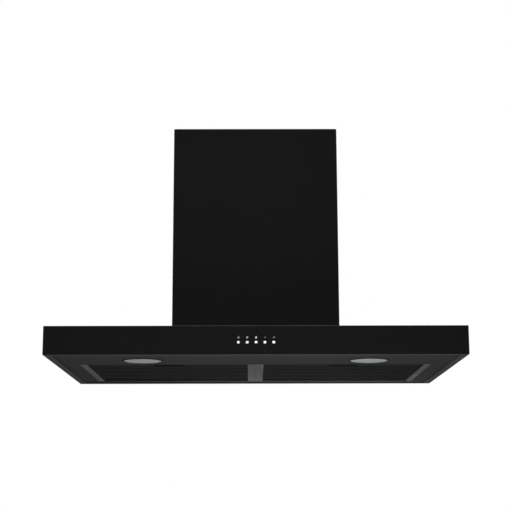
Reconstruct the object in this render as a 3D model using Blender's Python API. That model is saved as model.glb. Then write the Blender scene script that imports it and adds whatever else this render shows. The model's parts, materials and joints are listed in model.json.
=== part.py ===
"""Island range hood: a flat box canopy under a telescopic chimney, as separate pieces.

Metres, +Z up. The origin is the middle of the canopy's bottom rim, and the front faces -Y.
"""

from dataclasses import dataclass
from math import acos, cos, pi, radians, sin

import bmesh
import bpy
from mathutils import Matrix, Vector

# Fits between pieces.
FIT_GAP = 0.0003  # pieces that touch or rest on each other
SWING_GAP = 0.0010  # round the filters, which swing down
SLIDE_GAP = 0.0015  # between the nested chimney sleeves
CUT_PAST = 0.010  # how far a cutter runs past the face that it cuts

# Canopy and the panel that closes its underside.
CANOPY_WIDTH = 0.900
CANOPY_DEPTH = 0.600
CANOPY_HEIGHT = 0.0615
CANOPY_SHEET = 0.0012
RETURN_LIP = 0.017
PANEL_SHEET = 0.0010
REAR_MARGIN = 0.052
SIDE_MARGIN = 0.0525

# Lamps in the front band.
LAMP_SPACING = 0.498
LAMP_SETBACK = 0.122  # canopy front to the lamp's centre
LAMP_TO_OPENING = 0.0263  # lamp hole to the filter opening
LENS_RADIUS = 0.0405
LENS_THICKNESS = 0.0020
BEZEL_WALL = 0.0016
BEZEL_FLANGE = 0.0030
BEZEL_HEIGHT = 0.009
BEZEL_CLEAR = 0.00025  # rim plane to the bezel's underside
LAMP_BODY_RADIUS = 0.034
LAMP_BODY_HEIGHT = 0.024

# Push buttons in the front wall.
BUTTON_NAMES = ("light", "off", "low", "medium", "high")
BUTTON_PITCH = 0.0187
BUTTON_WIDTH = 0.0061
BUTTON_HEIGHT = 0.0057
BUTTON_PROUD = 0.0008
BUTTON_LEVEL = 0.026
BUTTON_TRAVEL = 0.0015
BUTTON_FLANGE = 0.0012  # wider than the button on each side, and as thick
INDICATOR_RADIUS = 0.0020
INDICATOR_LEVEL = 0.0360
SWITCH_BLOCK_HEIGHT = 0.034
SWITCH_BLOCK_DEPTH = 0.016

# Control electronics under the canopy's top plate.
CONTROL_BOX_WIDTH = 0.180
CONTROL_BOX_DEPTH = 0.110
CONTROL_BOX_HEIGHT = 0.030
CONTROL_BOX_WALL = 0.0015
CONTROL_BOX_SETBACK = 0.040
BOARD_MARGIN = 0.008
BOARD_THICKNESS = 0.0016
BOARD_STANDOFF = 0.014
STANDOFF_RADIUS = 0.003
# Parts under the circuit board: two x and two y from its middle, and height over the room there.
BOARD_PARTS = (
    (-0.060, -0.030, -0.030, 0.005, 0.75),
    (-0.015, 0.005, -0.012, 0.012, 0.60),
    (0.030, 0.065, -0.030, -0.016, 0.50),
    (0.030, 0.055, 0.010, 0.032, 0.70),
)
DRIVER_WIDTH = 0.070
DRIVER_DEPTH = 0.040
DRIVER_HEIGHT = 0.025
DRIVER_SIDE = 0.040  # control box's end to the driver
GLAND_RADIUS = 0.008
GLAND_NUT_RADIUS = 0.011
GLAND_HEIGHT = 0.018
GLAND_DEPTH = 0.008  # below the canopy's top plate

# Baffle filters, one left and one right.
FILTER_HEIGHT = 0.0095
FILTER_RAIL_SHEET = 0.0010
OUTER_RAIL_WIDTH = 0.0155
INNER_RAIL_WIDTH = 0.0175
FRONT_LAND = 0.046
REAR_BAR = 0.012
SIDE_MEMBER = 0.004
BAFFLE_SHEET = 0.0020
BAFFLE_PITCH = 0.030
BAFFLE_GAP = 0.012
BAFFLE_END = 0.003
FINGER_SLOT_WIDTH = 0.068
FINGER_SLOT_DEPTH = 0.024
FINGER_SLOT_SETBACK = 0.016
LATCH_WIDTH = 0.080
LATCH_SHEET = 0.0020
LATCH_TRAVEL = 0.006
LATCH_STOP_GAP = 0.0015  # finger tab to the slot's back, when pulled
TAB_WIDTH = 0.044
TAB_LENGTH = 0.011
TAB_THICKNESS = 0.0022
RAIL_THICKNESS = 0.0020
RAIL_WIDTH = 0.013
CATCH_WIDTH = 0.005
CATCH_HEIGHT = 0.008
FILTER_SWING_SPACE = 0.0005

# Chimney sleeves.
CHIMNEY_WIDTH = 0.373
CHIMNEY_DEPTH = 0.300
CHIMNEY_SHEET = 0.0010
CHIMNEY_TOP = 0.5425
UPPER_SLEEVE_LENGTH = 0.428
SLEEVE_PROUD = 0.0010  # upper sleeve over the lower one, when pushed together

# Hanging frame inside the chimney.
CEILING_PLATE_SHEET = 0.0020
CEILING_FLANGE = 0.020
CEILING_PROUD = 0.0005  # above the upper sleeve
DUCT_HOLE_RADIUS = 0.080
ANCHOR_SLOT_WIDTH = 0.008
ANCHOR_SLOT_LENGTH = 0.024
ANCHOR_SPACING_X = 0.270
ANCHOR_SPACING_Y = 0.230
POST_LEG = 0.020
POST_SHEET = 0.0020
POST_INSET = 0.007  # upper sleeve's inside to the lower post's corner
LOWER_POST_TOP = 0.530
UPPER_POST_BOTTOM = 0.100

# Blower.
BLOWER_SIDE_ROOM = 0.009  # upper sleeve's inside to the blower box, left and right
BLOWER_END_ROOM = 0.0345  # the same, front and rear
BLOWER_SHEET = 0.0012
BLOWER_HEIGHT = 0.2314
INLET_LEDGE_X = 0.024  # canopy top under the blower box, left and right
INLET_LEDGE_Y = 0.017  # the same, front and rear
SCROLL_UNDER = 0.0078  # canopy top to the scroll's lowest point
SCROLL_CLEARANCE = 0.006  # impeller to the scroll's start
SCROLL_SIDE_ROOM = 0.0059  # blower box's inside to the scroll's far side
SCROLL_TONGUE = radians(60)  # where the spiral starts, from the outlet's side
SCROLL_DEPTH = 0.120
SCROLL_SHEET = 0.0015
SCROLL_INLET_RADIUS = 0.062
SCROLL_STEPS = 30
IMPELLER_RADIUS = 0.070
IMPELLER_LENGTH = 0.104
BLADE_COUNT = 24
BLADE_DEPTH = 0.010
BLADE_SHEET = 0.0012
BLADE_ANGLE = radians(28)
HUB_SHEET = 0.003
HUB_BOSS_RADIUS = 0.012
HUB_BOSS_LENGTH = 0.014
SHAFT_RADIUS = 0.004
SHAFT_FRONT = 0.016
SHAFT_REACH = 0.012  # into the motor
MOTOR_RADIUS = 0.042
MOTOR_LENGTH = 0.070
MOTOR_FRONT = 0.009
BRACKET_SHEET = 0.003
BRACKET_RING = 0.009
BRACKET_ARM_WIDTH = 0.012
BRACKET_REACH = 0.010  # of an arm over the scroll's side
CAPACITOR_RADIUS = 0.015
CAPACITOR_HEIGHT = 0.062
CAPACITOR_X = 0.125

# Outlet collar with its back-draught damper.
COLLAR_RADIUS = 0.075
COLLAR_SHEET = 0.0015
COLLAR_FLANGE = 0.176
COLLAR_HEIGHT = 0.052
DAMPER_LEVEL = 0.024  # collar's foot to the pin
DAMPER_PIN_RADIUS = 0.0015
DAMPER_BARREL_RADIUS = 0.0032
DAMPER_BARREL_LENGTH = 0.012
DAMPER_BARREL_PITCH = 0.030
DAMPER_SHEET = 0.0012
DAMPER_CLEARANCE = 0.0013

# Roundness: straight sides in a full circle.
COARSE = 24
FINE = 48

# Places that several pieces share.
HALF_X = CANOPY_WIDTH / 2
HALF_Y = CANOPY_DEPTH / 2
PANEL_BOTTOM = CANOPY_SHEET + FIT_GAP
PANEL_TOP = PANEL_BOTTOM + PANEL_SHEET
CEILING_OF_CANOPY = CANOPY_HEIGHT - CANOPY_SHEET - FIT_GAP
FRONT_INSIDE = -HALF_Y + CANOPY_SHEET + FIT_GAP
OPENING_X = HALF_X - SIDE_MARGIN
OPENING_BACK = HALF_Y - REAR_MARGIN
LAMP_Y = -HALF_Y + LAMP_SETBACK
LAMP_HOLE_RADIUS = LENS_RADIUS + BEZEL_WALL + 2 * FIT_GAP
OPENING_FRONT = LAMP_Y + LAMP_HOLE_RADIUS + LAMP_TO_OPENING
TOP_OF_CANOPY = CANOPY_HEIGHT + FIT_GAP
FILTER_FRONT = OPENING_FRONT + SWING_GAP
FILTER_BACK = OPENING_BACK - FILTER_SWING_SPACE
FILTER_TOP = PANEL_BOTTOM + FILTER_HEIGHT
FRAME_BOTTOM = PANEL_BOTTOM + FILTER_RAIL_SHEET + FIT_GAP
FRAME_TOP = FILTER_TOP - FILTER_RAIL_SHEET - FIT_GAP
UPPER_TOP = CHIMNEY_TOP + SLEEVE_PROUD
CEILING_TOP = UPPER_TOP + CEILING_PROUD
SLEEVE_STEP = CHIMNEY_SHEET + SLIDE_GAP
UPPER_INSIDE_X = CHIMNEY_WIDTH / 2 - SLEEVE_STEP - CHIMNEY_SHEET
UPPER_INSIDE_Y = CHIMNEY_DEPTH / 2 - SLEEVE_STEP - CHIMNEY_SHEET
BLOWER_WIDTH = 2 * (UPPER_INSIDE_X - BLOWER_SIDE_ROOM)
BLOWER_DEPTH = 2 * (UPPER_INSIDE_Y - BLOWER_END_ROOM)
BLOWER_TOP = TOP_OF_CANOPY + BLOWER_HEIGHT
INLET_WIDTH = BLOWER_WIDTH - 2 * INLET_LEDGE_X
INLET_DEPTH = BLOWER_DEPTH - 2 * INLET_LEDGE_Y

# The scroll's radius grows evenly from its tongue to a full turn, and its outlet stands over the middle.
# Its far side, half a turn round, reaches to the room left in the blower box, which sets its last radius.
SCROLL_TOP = BLOWER_TOP - BLOWER_SHEET - FIT_GAP
SCROLL_REACH = BLOWER_WIDTH / 2 - BLOWER_SHEET - SCROLL_SIDE_ROOM - SCROLL_SHEET
SCROLL_START_RADIUS = IMPELLER_RADIUS + SCROLL_CLEARANCE
FAR_SHARE = (pi - SCROLL_TONGUE) / (2 * pi - SCROLL_TONGUE)
START_SHARE = 1 - FAR_SHARE + cos(SCROLL_TONGUE) / 2
SCROLL_END_RADIUS = (SCROLL_REACH - START_SHARE * SCROLL_START_RADIUS) / (FAR_SHARE + 1 / 2)
SCROLL_OUTLET_WIDTH = SCROLL_END_RADIUS - SCROLL_START_RADIUS * cos(SCROLL_TONGUE)
SCROLL_GROWTH = (SCROLL_END_RADIUS - SCROLL_START_RADIUS) / (2 * pi - SCROLL_TONGUE)  # per radian
SCROLL_LOWEST = SCROLL_START_RADIUS + (3 * pi / 2 - SCROLL_TONGUE) * SCROLL_GROWTH + SCROLL_SHEET
SCROLL_X = SCROLL_OUTLET_WIDTH / 2 - SCROLL_END_RADIUS
SCROLL_Z = TOP_OF_CANOPY + SCROLL_UNDER + SCROLL_LOWEST
COLLAR_FOOT = BLOWER_TOP + FIT_GAP
DAMPER_Z = COLLAR_FOOT + DAMPER_LEVEL


@dataclass
class Pivot:
    """An empty on a joint's axis, and where it stands in the world."""

    empty: bpy.types.Object
    place: Vector


def new_material(name, colour, roughness, metallic=0.0):
    """Makes a Principled material of one colour."""
    material = bpy.data.materials.new(name)
    material.use_nodes = True
    material.diffuse_color = (*colour, 1.0)
    shader = material.node_tree.nodes["Principled BSDF"]
    shader.inputs["Base Color"].default_value = (*colour, 1.0)
    shader.inputs["Roughness"].default_value = roughness
    shader.inputs["Metallic"].default_value = metallic
    return material


def new_pivot(name, place, parent=None):
    """Makes an empty at a place on a joint's axis."""
    place = Vector(place)
    empty = bpy.data.objects.new(name, None)
    bpy.context.collection.objects.link(empty)
    empty.empty_display_size = 0.02
    empty.location = place
    if parent:
        empty.parent = parent.empty
        empty.location = place - parent.place
    return Pivot(empty, place)


def add_box(mesh, low, high):
    """Adds a closed box between two opposite corners, given in any order."""
    low, high = Vector(low), Vector(high)
    size = [abs(end - start) for start, end in zip(low, high)]
    stretch = Matrix.Translation((low + high) / 2) @ Matrix.Diagonal((*size, 1.0))
    bmesh.ops.create_cube(mesh, size=1.0, matrix=stretch)


def add_rod(mesh, start, end, radius, sides=COARSE):
    """Adds a closed cylinder between the middles of its two ends."""
    start, end = Vector(start), Vector(end)
    turn = Vector((0, 0, 1)).rotation_difference(end - start).to_matrix().to_4x4()
    bmesh.ops.create_cone(
        mesh,
        cap_ends=True,
        segments=sides,
        radius1=radius,
        radius2=radius,
        depth=(end - start).length,
        matrix=Matrix.Translation((start + end) / 2) @ turn,
    )


def add_prism(mesh, outline, low, high, axis="Z"):
    """Extrudes a flat outline along an axis: (x, y) points along Z, or (x, z) points along Y."""
    if axis == "Z":
        points = [Vector((u, v, low)) for u, v in outline]
        step = Vector((0, 0, high - low))
    else:
        points = [Vector((u, low, v)) for u, v in outline]
        step = Vector((0, high - low, 0))
    base = mesh.faces.new([mesh.verts.new(point) for point in points])
    grown = bmesh.ops.extrude_face_region(mesh, geom=[base], use_keep_orig=True)
    verts = [item for item in grown["geom"] if isinstance(item, bmesh.types.BMVert)]
    bmesh.ops.translate(mesh, vec=step, verts=verts)


def add_turned(mesh, profile, centre, sides=FINE):
    """Spins a closed profile of (radius, height) points round a vertical axis through a centre."""
    cx, cy, cz = centre
    verts = [mesh.verts.new((cx + radius, cy, cz + height)) for radius, height in profile]
    edges = [mesh.edges.new((a, b)) for a, b in zip(verts, verts[1:] + verts[:1])]
    bmesh.ops.spin(
        mesh,
        geom=verts + edges,
        cent=centre,
        axis=(0, 0, 1),
        angle=2 * pi,
        steps=sides,
        use_merge=True,
    )
    bmesh.ops.remove_doubles(mesh, verts=mesh.verts, dist=1e-6)


def new_object(name, mesh, material, pivot=None):
    """Turns a mesh in world coordinates into a named object, on its pivot when it moves."""
    if pivot:
        bmesh.ops.translate(mesh, vec=-pivot.place, verts=mesh.verts)
    bmesh.ops.recalc_face_normals(mesh, faces=mesh.faces)
    data = bpy.data.meshes.new(name)
    mesh.to_mesh(data)
    mesh.free()
    data.shade_smooth()
    data.set_sharp_from_angle(angle=radians(32))
    piece = bpy.data.objects.new(name, data)
    bpy.context.collection.objects.link(piece)
    if material:
        data.materials.append(material)
    if pivot:
        piece.parent = pivot.empty
    return piece


def combine(piece, mesh, operation):
    """Joins or cuts a mesh in world coordinates with a piece, by a live Boolean."""
    count = len(piece.modifiers) + 1
    tool = new_object(f"{piece.name}_tool_{count}", mesh, None)
    tool.hide_render = True
    tool.display_type = "WIRE"
    boolean = piece.modifiers.new(f"{operation.lower()}_{count}", "BOOLEAN")
    boolean.operation = operation
    boolean.solver = "EXACT"
    boolean.object = tool


def cut_boxes(piece, *boxes):
    """Cuts boxes that don't overlap each other, each given as two corners, from a piece."""
    mesh = bmesh.new()
    for low, high in boxes:
        add_box(mesh, low, high)
    combine(piece, mesh, "DIFFERENCE")


def cut_rods(piece, *rods):
    """Cuts cylinders, each given as start, end and radius, from a piece."""
    mesh = bmesh.new()
    for start, end, radius in rods:
        add_rod(mesh, start, end, radius, FINE)
    combine(piece, mesh, "DIFFERENCE")


def join_boxes(piece, *boxes):
    """Joins boxes that don't overlap each other, each given as two corners, to a piece."""
    mesh = bmesh.new()
    for low, high in boxes:
        add_box(mesh, low, high)
    combine(piece, mesh, "UNION")


def box_object(name, low, high, material, pivot=None):
    """Makes a plain box as a named object."""
    mesh = bmesh.new()
    add_box(mesh, low, high)
    return new_object(name, mesh, material, pivot)


def prism_object(name, outline, low, high, material, pivot=None, axis="Z"):
    """Makes an extruded outline as a named object."""
    mesh = bmesh.new()
    add_prism(mesh, outline, low, high, axis)
    return new_object(name, mesh, material, pivot)


def turned_object(name, profile, centre, material, pivot=None, sides=FINE):
    """Makes a turned ring or disc as a named object."""
    mesh = bmesh.new()
    add_turned(mesh, profile, centre, sides)
    return new_object(name, mesh, material, pivot)


def button_places():
    """Gives each button's name and the x of its centre, from left to right."""
    middle = (len(BUTTON_NAMES) - 1) / 2
    return [(name, (index - middle) * BUTTON_PITCH) for index, name in enumerate(BUTTON_NAMES)]


def make_canopy(paint):
    """The folded box canopy: four walls, a top plate and a lip that returns under the edges."""
    shell = box_object("canopy_shell", (-HALF_X, -HALF_Y, 0), (HALF_X, HALF_Y, CANOPY_HEIGHT), paint)
    inside_x, inside_y = HALF_X - CANOPY_SHEET, HALF_Y - CANOPY_SHEET
    cut_boxes(
        shell,
        ((-inside_x, -inside_y, CANOPY_SHEET), (inside_x, inside_y, CANOPY_HEIGHT - CANOPY_SHEET)),
    )
    lip_x, lip_y = HALF_X - RETURN_LIP, HALF_Y - RETURN_LIP
    cut_boxes(shell, ((-lip_x, -lip_y, -CUT_PAST), (lip_x, lip_y, 2 * CANOPY_SHEET)))
    above, below = CANOPY_HEIGHT + CUT_PAST, CANOPY_HEIGHT - CUT_PAST
    cut_boxes(
        shell,
        ((-INLET_WIDTH / 2, -INLET_DEPTH / 2, below), (INLET_WIDTH / 2, INLET_DEPTH / 2, above)),
    )
    gland = gland_place()
    cut_rods(shell, ((*gland, below), (*gland, above), GLAND_RADIUS + FIT_GAP))
    half_w = BUTTON_WIDTH / 2 + FIT_GAP
    half_h = BUTTON_HEIGHT / 2 + FIT_GAP
    front, behind = -HALF_Y - CUT_PAST, -HALF_Y + 2 * CANOPY_SHEET
    holes = [
        ((x - half_w, front, BUTTON_LEVEL - half_h), (x + half_w, behind, BUTTON_LEVEL + half_h))
        for _, x in button_places()
    ]
    cut_boxes(shell, *holes)
    lens = INDICATOR_RADIUS + FIT_GAP
    cut_rods(shell, ((0, front, INDICATOR_LEVEL), (0, behind, INDICATOR_LEVEL), lens))


def make_base_panel(paint):
    """The underside panel that rests on the return lip, with the filter opening and lamp holes."""
    edge_x, edge_y = HALF_X - CANOPY_SHEET - FIT_GAP, HALF_Y - CANOPY_SHEET - FIT_GAP
    panel = box_object("base_panel", (-edge_x, -edge_y, PANEL_BOTTOM), (edge_x, edge_y, PANEL_TOP), paint)
    low, high = PANEL_BOTTOM - CUT_PAST, PANEL_TOP + CUT_PAST
    cut_boxes(panel, ((-OPENING_X, OPENING_FRONT, low), (OPENING_X, OPENING_BACK, high)))
    lamps = [(side * LAMP_SPACING / 2, LAMP_Y) for side in (-1, 1)]
    cut_rods(panel, *(((*lamp, low), (*lamp, high), LAMP_HOLE_RADIUS) for lamp in lamps))


def make_filter_rails(steel):
    """The rail that the filters' rear tabs rest on, and the catch rail in front of them."""
    foot = PANEL_TOP + FIT_GAP
    back = OPENING_BACK + FIT_GAP
    box_object(
        "rear_support_rail",
        (-OPENING_X, back, foot),
        (OPENING_X, back + RAIL_WIDTH, foot + RAIL_THICKNESS),
        steel,
    )
    front = OPENING_FRONT - FIT_GAP
    box_object(
        "front_catch_rail",
        (-OPENING_X, front - CATCH_WIDTH, foot),
        (OPENING_X, front, foot + CATCH_HEIGHT),
        steel,
    )


def make_lamp(side_name, side, bezel_black, frosted, cast):
    """One round lamp: a flanged bezel, its lens, and the can above them."""
    centre = (side * LAMP_SPACING / 2, LAMP_Y, 0)
    inner = LENS_RADIUS + FIT_GAP
    outer = inner + BEZEL_WALL
    flange_low, flange_high = BEZEL_CLEAR, PANEL_BOTTOM - FIT_GAP
    bezel = [
        (inner, flange_low),
        (outer + BEZEL_FLANGE, flange_low),
        (outer + BEZEL_FLANGE, flange_high),
        (outer, flange_high),
        (outer, BEZEL_HEIGHT),
        (inner, BEZEL_HEIGHT),
    ]
    turned_object(f"lamp_{side_name}_bezel", bezel, centre, bezel_black)
    lens_low = flange_low + 2 * FIT_GAP
    lens_high = lens_low + LENS_THICKNESS
    mesh = bmesh.new()
    add_rod(mesh, (*centre[:2], lens_low), (*centre[:2], lens_high), LENS_RADIUS, FINE)
    new_object(f"lamp_{side_name}_lens", mesh, frosted)
    mesh = bmesh.new()
    body_low = lens_high + FIT_GAP
    body_high = body_low + LAMP_BODY_HEIGHT
    add_rod(mesh, (*centre[:2], body_low), (*centre[:2], body_high), LAMP_BODY_RADIUS, FINE)
    new_object(f"lamp_{side_name}_body", mesh, cast)


def make_controls(white, black, lens):
    """The switch block behind the front wall, its five buttons and the indicator's light pipe."""
    places = button_places()
    half_block = places[-1][1] + BUTTON_PITCH / 2
    low = BUTTON_LEVEL - SWITCH_BLOCK_HEIGHT / 2 + (INDICATOR_LEVEL - BUTTON_LEVEL) / 2
    high = low + SWITCH_BLOCK_HEIGHT
    block = box_object(
        "switch_block",
        (-half_block, FRONT_INSIDE, low),
        (half_block, FRONT_INSIDE + SWITCH_BLOCK_DEPTH, high),
        black,
    )
    flange_x = BUTTON_WIDTH / 2 + BUTTON_FLANGE
    flange_z = BUTTON_HEIGHT / 2 + BUTTON_FLANGE
    pocket = FRONT_INSIDE + BUTTON_FLANGE + BUTTON_TRAVEL + 2 * FIT_GAP
    cut_front = FRONT_INSIDE - CUT_PAST
    cut_boxes(
        block,
        *(
            (
                (x - flange_x - FIT_GAP, cut_front, BUTTON_LEVEL - flange_z - FIT_GAP),
                (x + flange_x + FIT_GAP, pocket, BUTTON_LEVEL + flange_z + FIT_GAP),
            )
            for _, x in places
        ),
    )
    pipe_end = FRONT_INSIDE + SWITCH_BLOCK_DEPTH / 2
    pipe = INDICATOR_RADIUS + FIT_GAP
    cut_rods(block, ((0, cut_front, INDICATOR_LEVEL), (0, pipe_end, INDICATOR_LEVEL), pipe))
    mesh = bmesh.new()
    add_rod(mesh, (0, -HALF_Y, INDICATOR_LEVEL), (0, pipe_end - FIT_GAP, INDICATOR_LEVEL), INDICATOR_RADIUS)
    new_object("indicator_lens", mesh, lens)
    for name, x in places:
        pivot = new_pivot(f"button_{name}_axis", (x, -HALF_Y, BUTTON_LEVEL))
        button = box_object(
            f"button_{name}",
            (x - BUTTON_WIDTH / 2, -HALF_Y - BUTTON_PROUD, BUTTON_LEVEL - BUTTON_HEIGHT / 2),
            (x + BUTTON_WIDTH / 2, FRONT_INSIDE + BUTTON_FLANGE / 2, BUTTON_LEVEL + BUTTON_HEIGHT / 2),
            white,
            pivot,
        )
        join_boxes(
            button,
            (
                (x - flange_x, FRONT_INSIDE, BUTTON_LEVEL - flange_z),
                (x + flange_x, FRONT_INSIDE + BUTTON_FLANGE, BUTTON_LEVEL + flange_z),
            ),
        )


def make_electronics(steel, board_green, plastic, rubber):
    """The control box with its board and lid, the lamp driver, and the mains cable's gland."""
    half_w = CONTROL_BOX_WIDTH / 2
    front = FRONT_INSIDE + CONTROL_BOX_SETBACK
    back = front + CONTROL_BOX_DEPTH
    low = CEILING_OF_CANOPY - CONTROL_BOX_HEIGHT
    wall = CONTROL_BOX_WALL
    box = box_object("control_box", (-half_w, front, low), (half_w, back, CEILING_OF_CANOPY), steel)
    roof = CEILING_OF_CANOPY - wall
    cut_boxes(box, ((-half_w + wall, front + wall, low - CUT_PAST), (half_w - wall, back - wall, roof)))
    board_top = roof - BOARD_STANDOFF
    posts = bmesh.new()
    for x in (-half_w + 2 * BOARD_MARGIN, half_w - 2 * BOARD_MARGIN):
        for y in (front + 2 * BOARD_MARGIN, back - 2 * BOARD_MARGIN):
            add_rod(posts, (x, y, board_top + FIT_GAP), (x, y, roof + wall / 2), STANDOFF_RADIUS, 12)
    combine(box, posts, "UNION")
    board = box_object(
        "circuit_board",
        (-half_w + BOARD_MARGIN, front + BOARD_MARGIN, board_top - BOARD_THICKNESS),
        (half_w - BOARD_MARGIN, back - BOARD_MARGIN, board_top),
        board_green,
    )
    middle = (front + back) / 2
    part_top = board_top - BOARD_THICKNESS / 2
    room = board_top - BOARD_THICKNESS - low
    join_boxes(
        board,
        *(
            ((x0, middle + y0, part_top - share * room), (x1, middle + y1, part_top))
            for x0, x1, y0, y1, share in BOARD_PARTS
        ),
    )
    box_object(
        "control_box_lid",
        (-half_w, front, low - FIT_GAP - wall),
        (half_w, back, low - FIT_GAP),
        steel,
    )
    driver_x = half_w + DRIVER_SIDE
    box_object(
        "lamp_driver",
        (driver_x, front, CEILING_OF_CANOPY - DRIVER_HEIGHT),
        (driver_x + DRIVER_WIDTH, front + DRIVER_DEPTH, CEILING_OF_CANOPY),
        plastic,
    )
    mesh = bmesh.new()
    foot = TOP_OF_CANOPY
    add_turned(
        mesh,
        [
            (GLAND_RADIUS / 2, foot - GLAND_DEPTH),
            (GLAND_RADIUS, foot - GLAND_DEPTH),
            (GLAND_RADIUS, foot),
            (GLAND_NUT_RADIUS, foot),
            (GLAND_NUT_RADIUS, foot + GLAND_HEIGHT / 2),
            (GLAND_RADIUS, foot + GLAND_HEIGHT),
            (GLAND_RADIUS / 2, foot + GLAND_HEIGHT),
        ],
        (*gland_place(), 0),
        COARSE,
    )
    new_object("cable_gland", mesh, rubber)


def gland_place():
    """Gives the gland's x and y: midway from control box to post, and from blower to chimney."""
    post_leg = UPPER_INSIDE_X - POST_INSET - POST_LEG
    return (CONTROL_BOX_WIDTH / 2 + post_leg) / 2, -(BLOWER_DEPTH / 2 + UPPER_INSIDE_Y) / 2


def channel_object(name, outer_x, inner_x, material, pivot):
    """A channel along Y from its closed edge at outer_x to its open edge at inner_x."""
    side = 1 if outer_x > inner_x else -1
    low, high = PANEL_BOTTOM, FILTER_TOP
    rail = box_object(name, (inner_x, FILTER_FRONT, low), (outer_x, FILTER_BACK, high), material, pivot)
    sheet = FILTER_RAIL_SHEET
    cut_boxes(
        rail,
        (
            (inner_x - side * CUT_PAST, FILTER_FRONT - CUT_PAST, low + sheet),
            (outer_x - side * sheet, FILTER_BACK + CUT_PAST, high - sheet),
        ),
    )


def make_filter(side_name, side, paint, aluminium, steel):
    """One baffle filter: a frame between two channels, two rows of baffles, and its latch."""
    near = side * FILTER_SWING_SPACE
    far = side * (OPENING_X - SWING_GAP)
    middle = (near + far) / 2
    pivot = new_pivot(f"filter_{side_name}_axis", (middle, FILTER_BACK, PANEL_BOTTOM))
    channel_object(f"filter_{side_name}_inner_rail", near, near + side * INNER_RAIL_WIDTH, aluminium, pivot)
    channel_object(f"filter_{side_name}_outer_rail", far, far - side * OUTER_RAIL_WIDTH, aluminium, pivot)
    web = FILTER_RAIL_SHEET + FIT_GAP
    low_x, high_x = sorted((near + side * web, far - side * web))
    frame = box_object(
        f"filter_{side_name}_frame",
        (low_x, FILTER_FRONT, FRAME_BOTTOM),
        (high_x, FILTER_BACK, FRAME_TOP),
        paint,
        pivot,
    )
    field_front, field_back = FILTER_FRONT + FRONT_LAND, FILTER_BACK - REAR_BAR
    slot_front = FILTER_FRONT + FINGER_SLOT_SETBACK
    below, above = FRAME_BOTTOM - CUT_PAST, FRAME_TOP + CUT_PAST
    cut_boxes(
        frame,
        ((low_x + SIDE_MEMBER, field_front, below), (high_x - SIDE_MEMBER, field_back, above)),
        (
            (middle - FINGER_SLOT_WIDTH / 2, slot_front, below),
            (middle + FINGER_SLOT_WIDTH / 2, slot_front + FINGER_SLOT_DEPTH, above),
        ),
    )
    tab_low = PANEL_TOP + RAIL_THICKNESS + 2 * FIT_GAP
    tabs = [
        (
            (x - TAB_WIDTH / 2, FILTER_BACK - REAR_BAR / 2, tab_low),
            (x + TAB_WIDTH / 2, FILTER_BACK + TAB_LENGTH, tab_low + TAB_THICKNESS),
        )
        for x in (middle - (far - near) / 4, middle + (far - near) / 4)
    ]
    join_boxes(frame, *tabs)
    rows = (
        ("lower", FRAME_BOTTOM, 0.0),
        ("upper", FRAME_TOP - BAFFLE_SHEET, BAFFLE_PITCH / 2),
    )
    comb_low = low_x + SIDE_MEMBER + FIT_GAP
    comb_high = high_x - SIDE_MEMBER - FIT_GAP
    for row, bottom, shift in rows:
        comb = box_object(
            f"filter_{side_name}_{row}_baffles",
            (comb_low, field_front + FIT_GAP, bottom),
            (comb_high, field_back - FIT_GAP, bottom + BAFFLE_SHEET),
            paint,
            pivot,
        )
        gaps = []
        gap_front = field_front + BAFFLE_END + shift
        while gap_front + BAFFLE_GAP < field_back - BAFFLE_END:
            gaps.append(
                (
                    (comb_low + BAFFLE_END, gap_front, bottom - CUT_PAST),
                    (comb_high - BAFFLE_END, gap_front + BAFFLE_GAP, bottom + CUT_PAST),
                )
            )
            gap_front += BAFFLE_PITCH
        cut_boxes(comb, *gaps)
    tab_front = slot_front + FINGER_SLOT_DEPTH - LATCH_STOP_GAP - LATCH_TRAVEL - LATCH_SHEET
    axis = new_pivot(f"filter_{side_name}_latch_axis", (middle, tab_front, FRAME_TOP), pivot)
    foot = FILTER_TOP + FIT_GAP
    latch = box_object(
        f"filter_{side_name}_latch",
        (middle - LATCH_WIDTH / 2, FILTER_FRONT + FIT_GAP, foot - FILTER_RAIL_SHEET),
        (middle + LATCH_WIDTH / 2, tab_front + 2 * LATCH_SHEET, foot - FILTER_RAIL_SHEET + LATCH_SHEET),
        steel,
        axis,
    )
    grip = FINGER_SLOT_WIDTH / 2 - FIT_GAP - SWING_GAP
    join_boxes(
        latch,
        (
            (middle - grip, tab_front, FRAME_BOTTOM + FIT_GAP),
            (middle + grip, tab_front + LATCH_SHEET, foot),
        ),
    )


def half_sleeve(name, half_x, half_y, side, low, high, material, pivot=None):
    """Half of a rectangular sleeve, U-shaped in plan: side -1 is the front half, 1 the rear half."""
    seam, far, sheet = side * FIT_GAP / 2, side * half_y, CHIMNEY_SHEET
    inner = far - side * sheet
    outline = [
        (-half_x, seam),
        (-half_x, far),
        (half_x, far),
        (half_x, seam),
        (half_x - sheet, seam),
        (half_x - sheet, inner),
        (-half_x + sheet, inner),
        (-half_x + sheet, seam),
    ]
    prism_object(name, outline, low, high, material, pivot)


def angle_post(name, corner_x, corner_y, low, high, material, pivot=None):
    """An L-section post whose outer corner is given, with its legs towards the middle."""
    in_x = -1 if corner_x > 0 else 1
    in_y = -1 if corner_y > 0 else 1
    outline = [
        (corner_x, corner_y),
        (corner_x + in_x * POST_LEG, corner_y),
        (corner_x + in_x * POST_LEG, corner_y + in_y * POST_SHEET),
        (corner_x + in_x * POST_SHEET, corner_y + in_y * POST_SHEET),
        (corner_x + in_x * POST_SHEET, corner_y + in_y * POST_LEG),
        (corner_x, corner_y + in_y * POST_LEG),
    ]
    return prism_object(name, outline, low, high, material, pivot)


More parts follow.
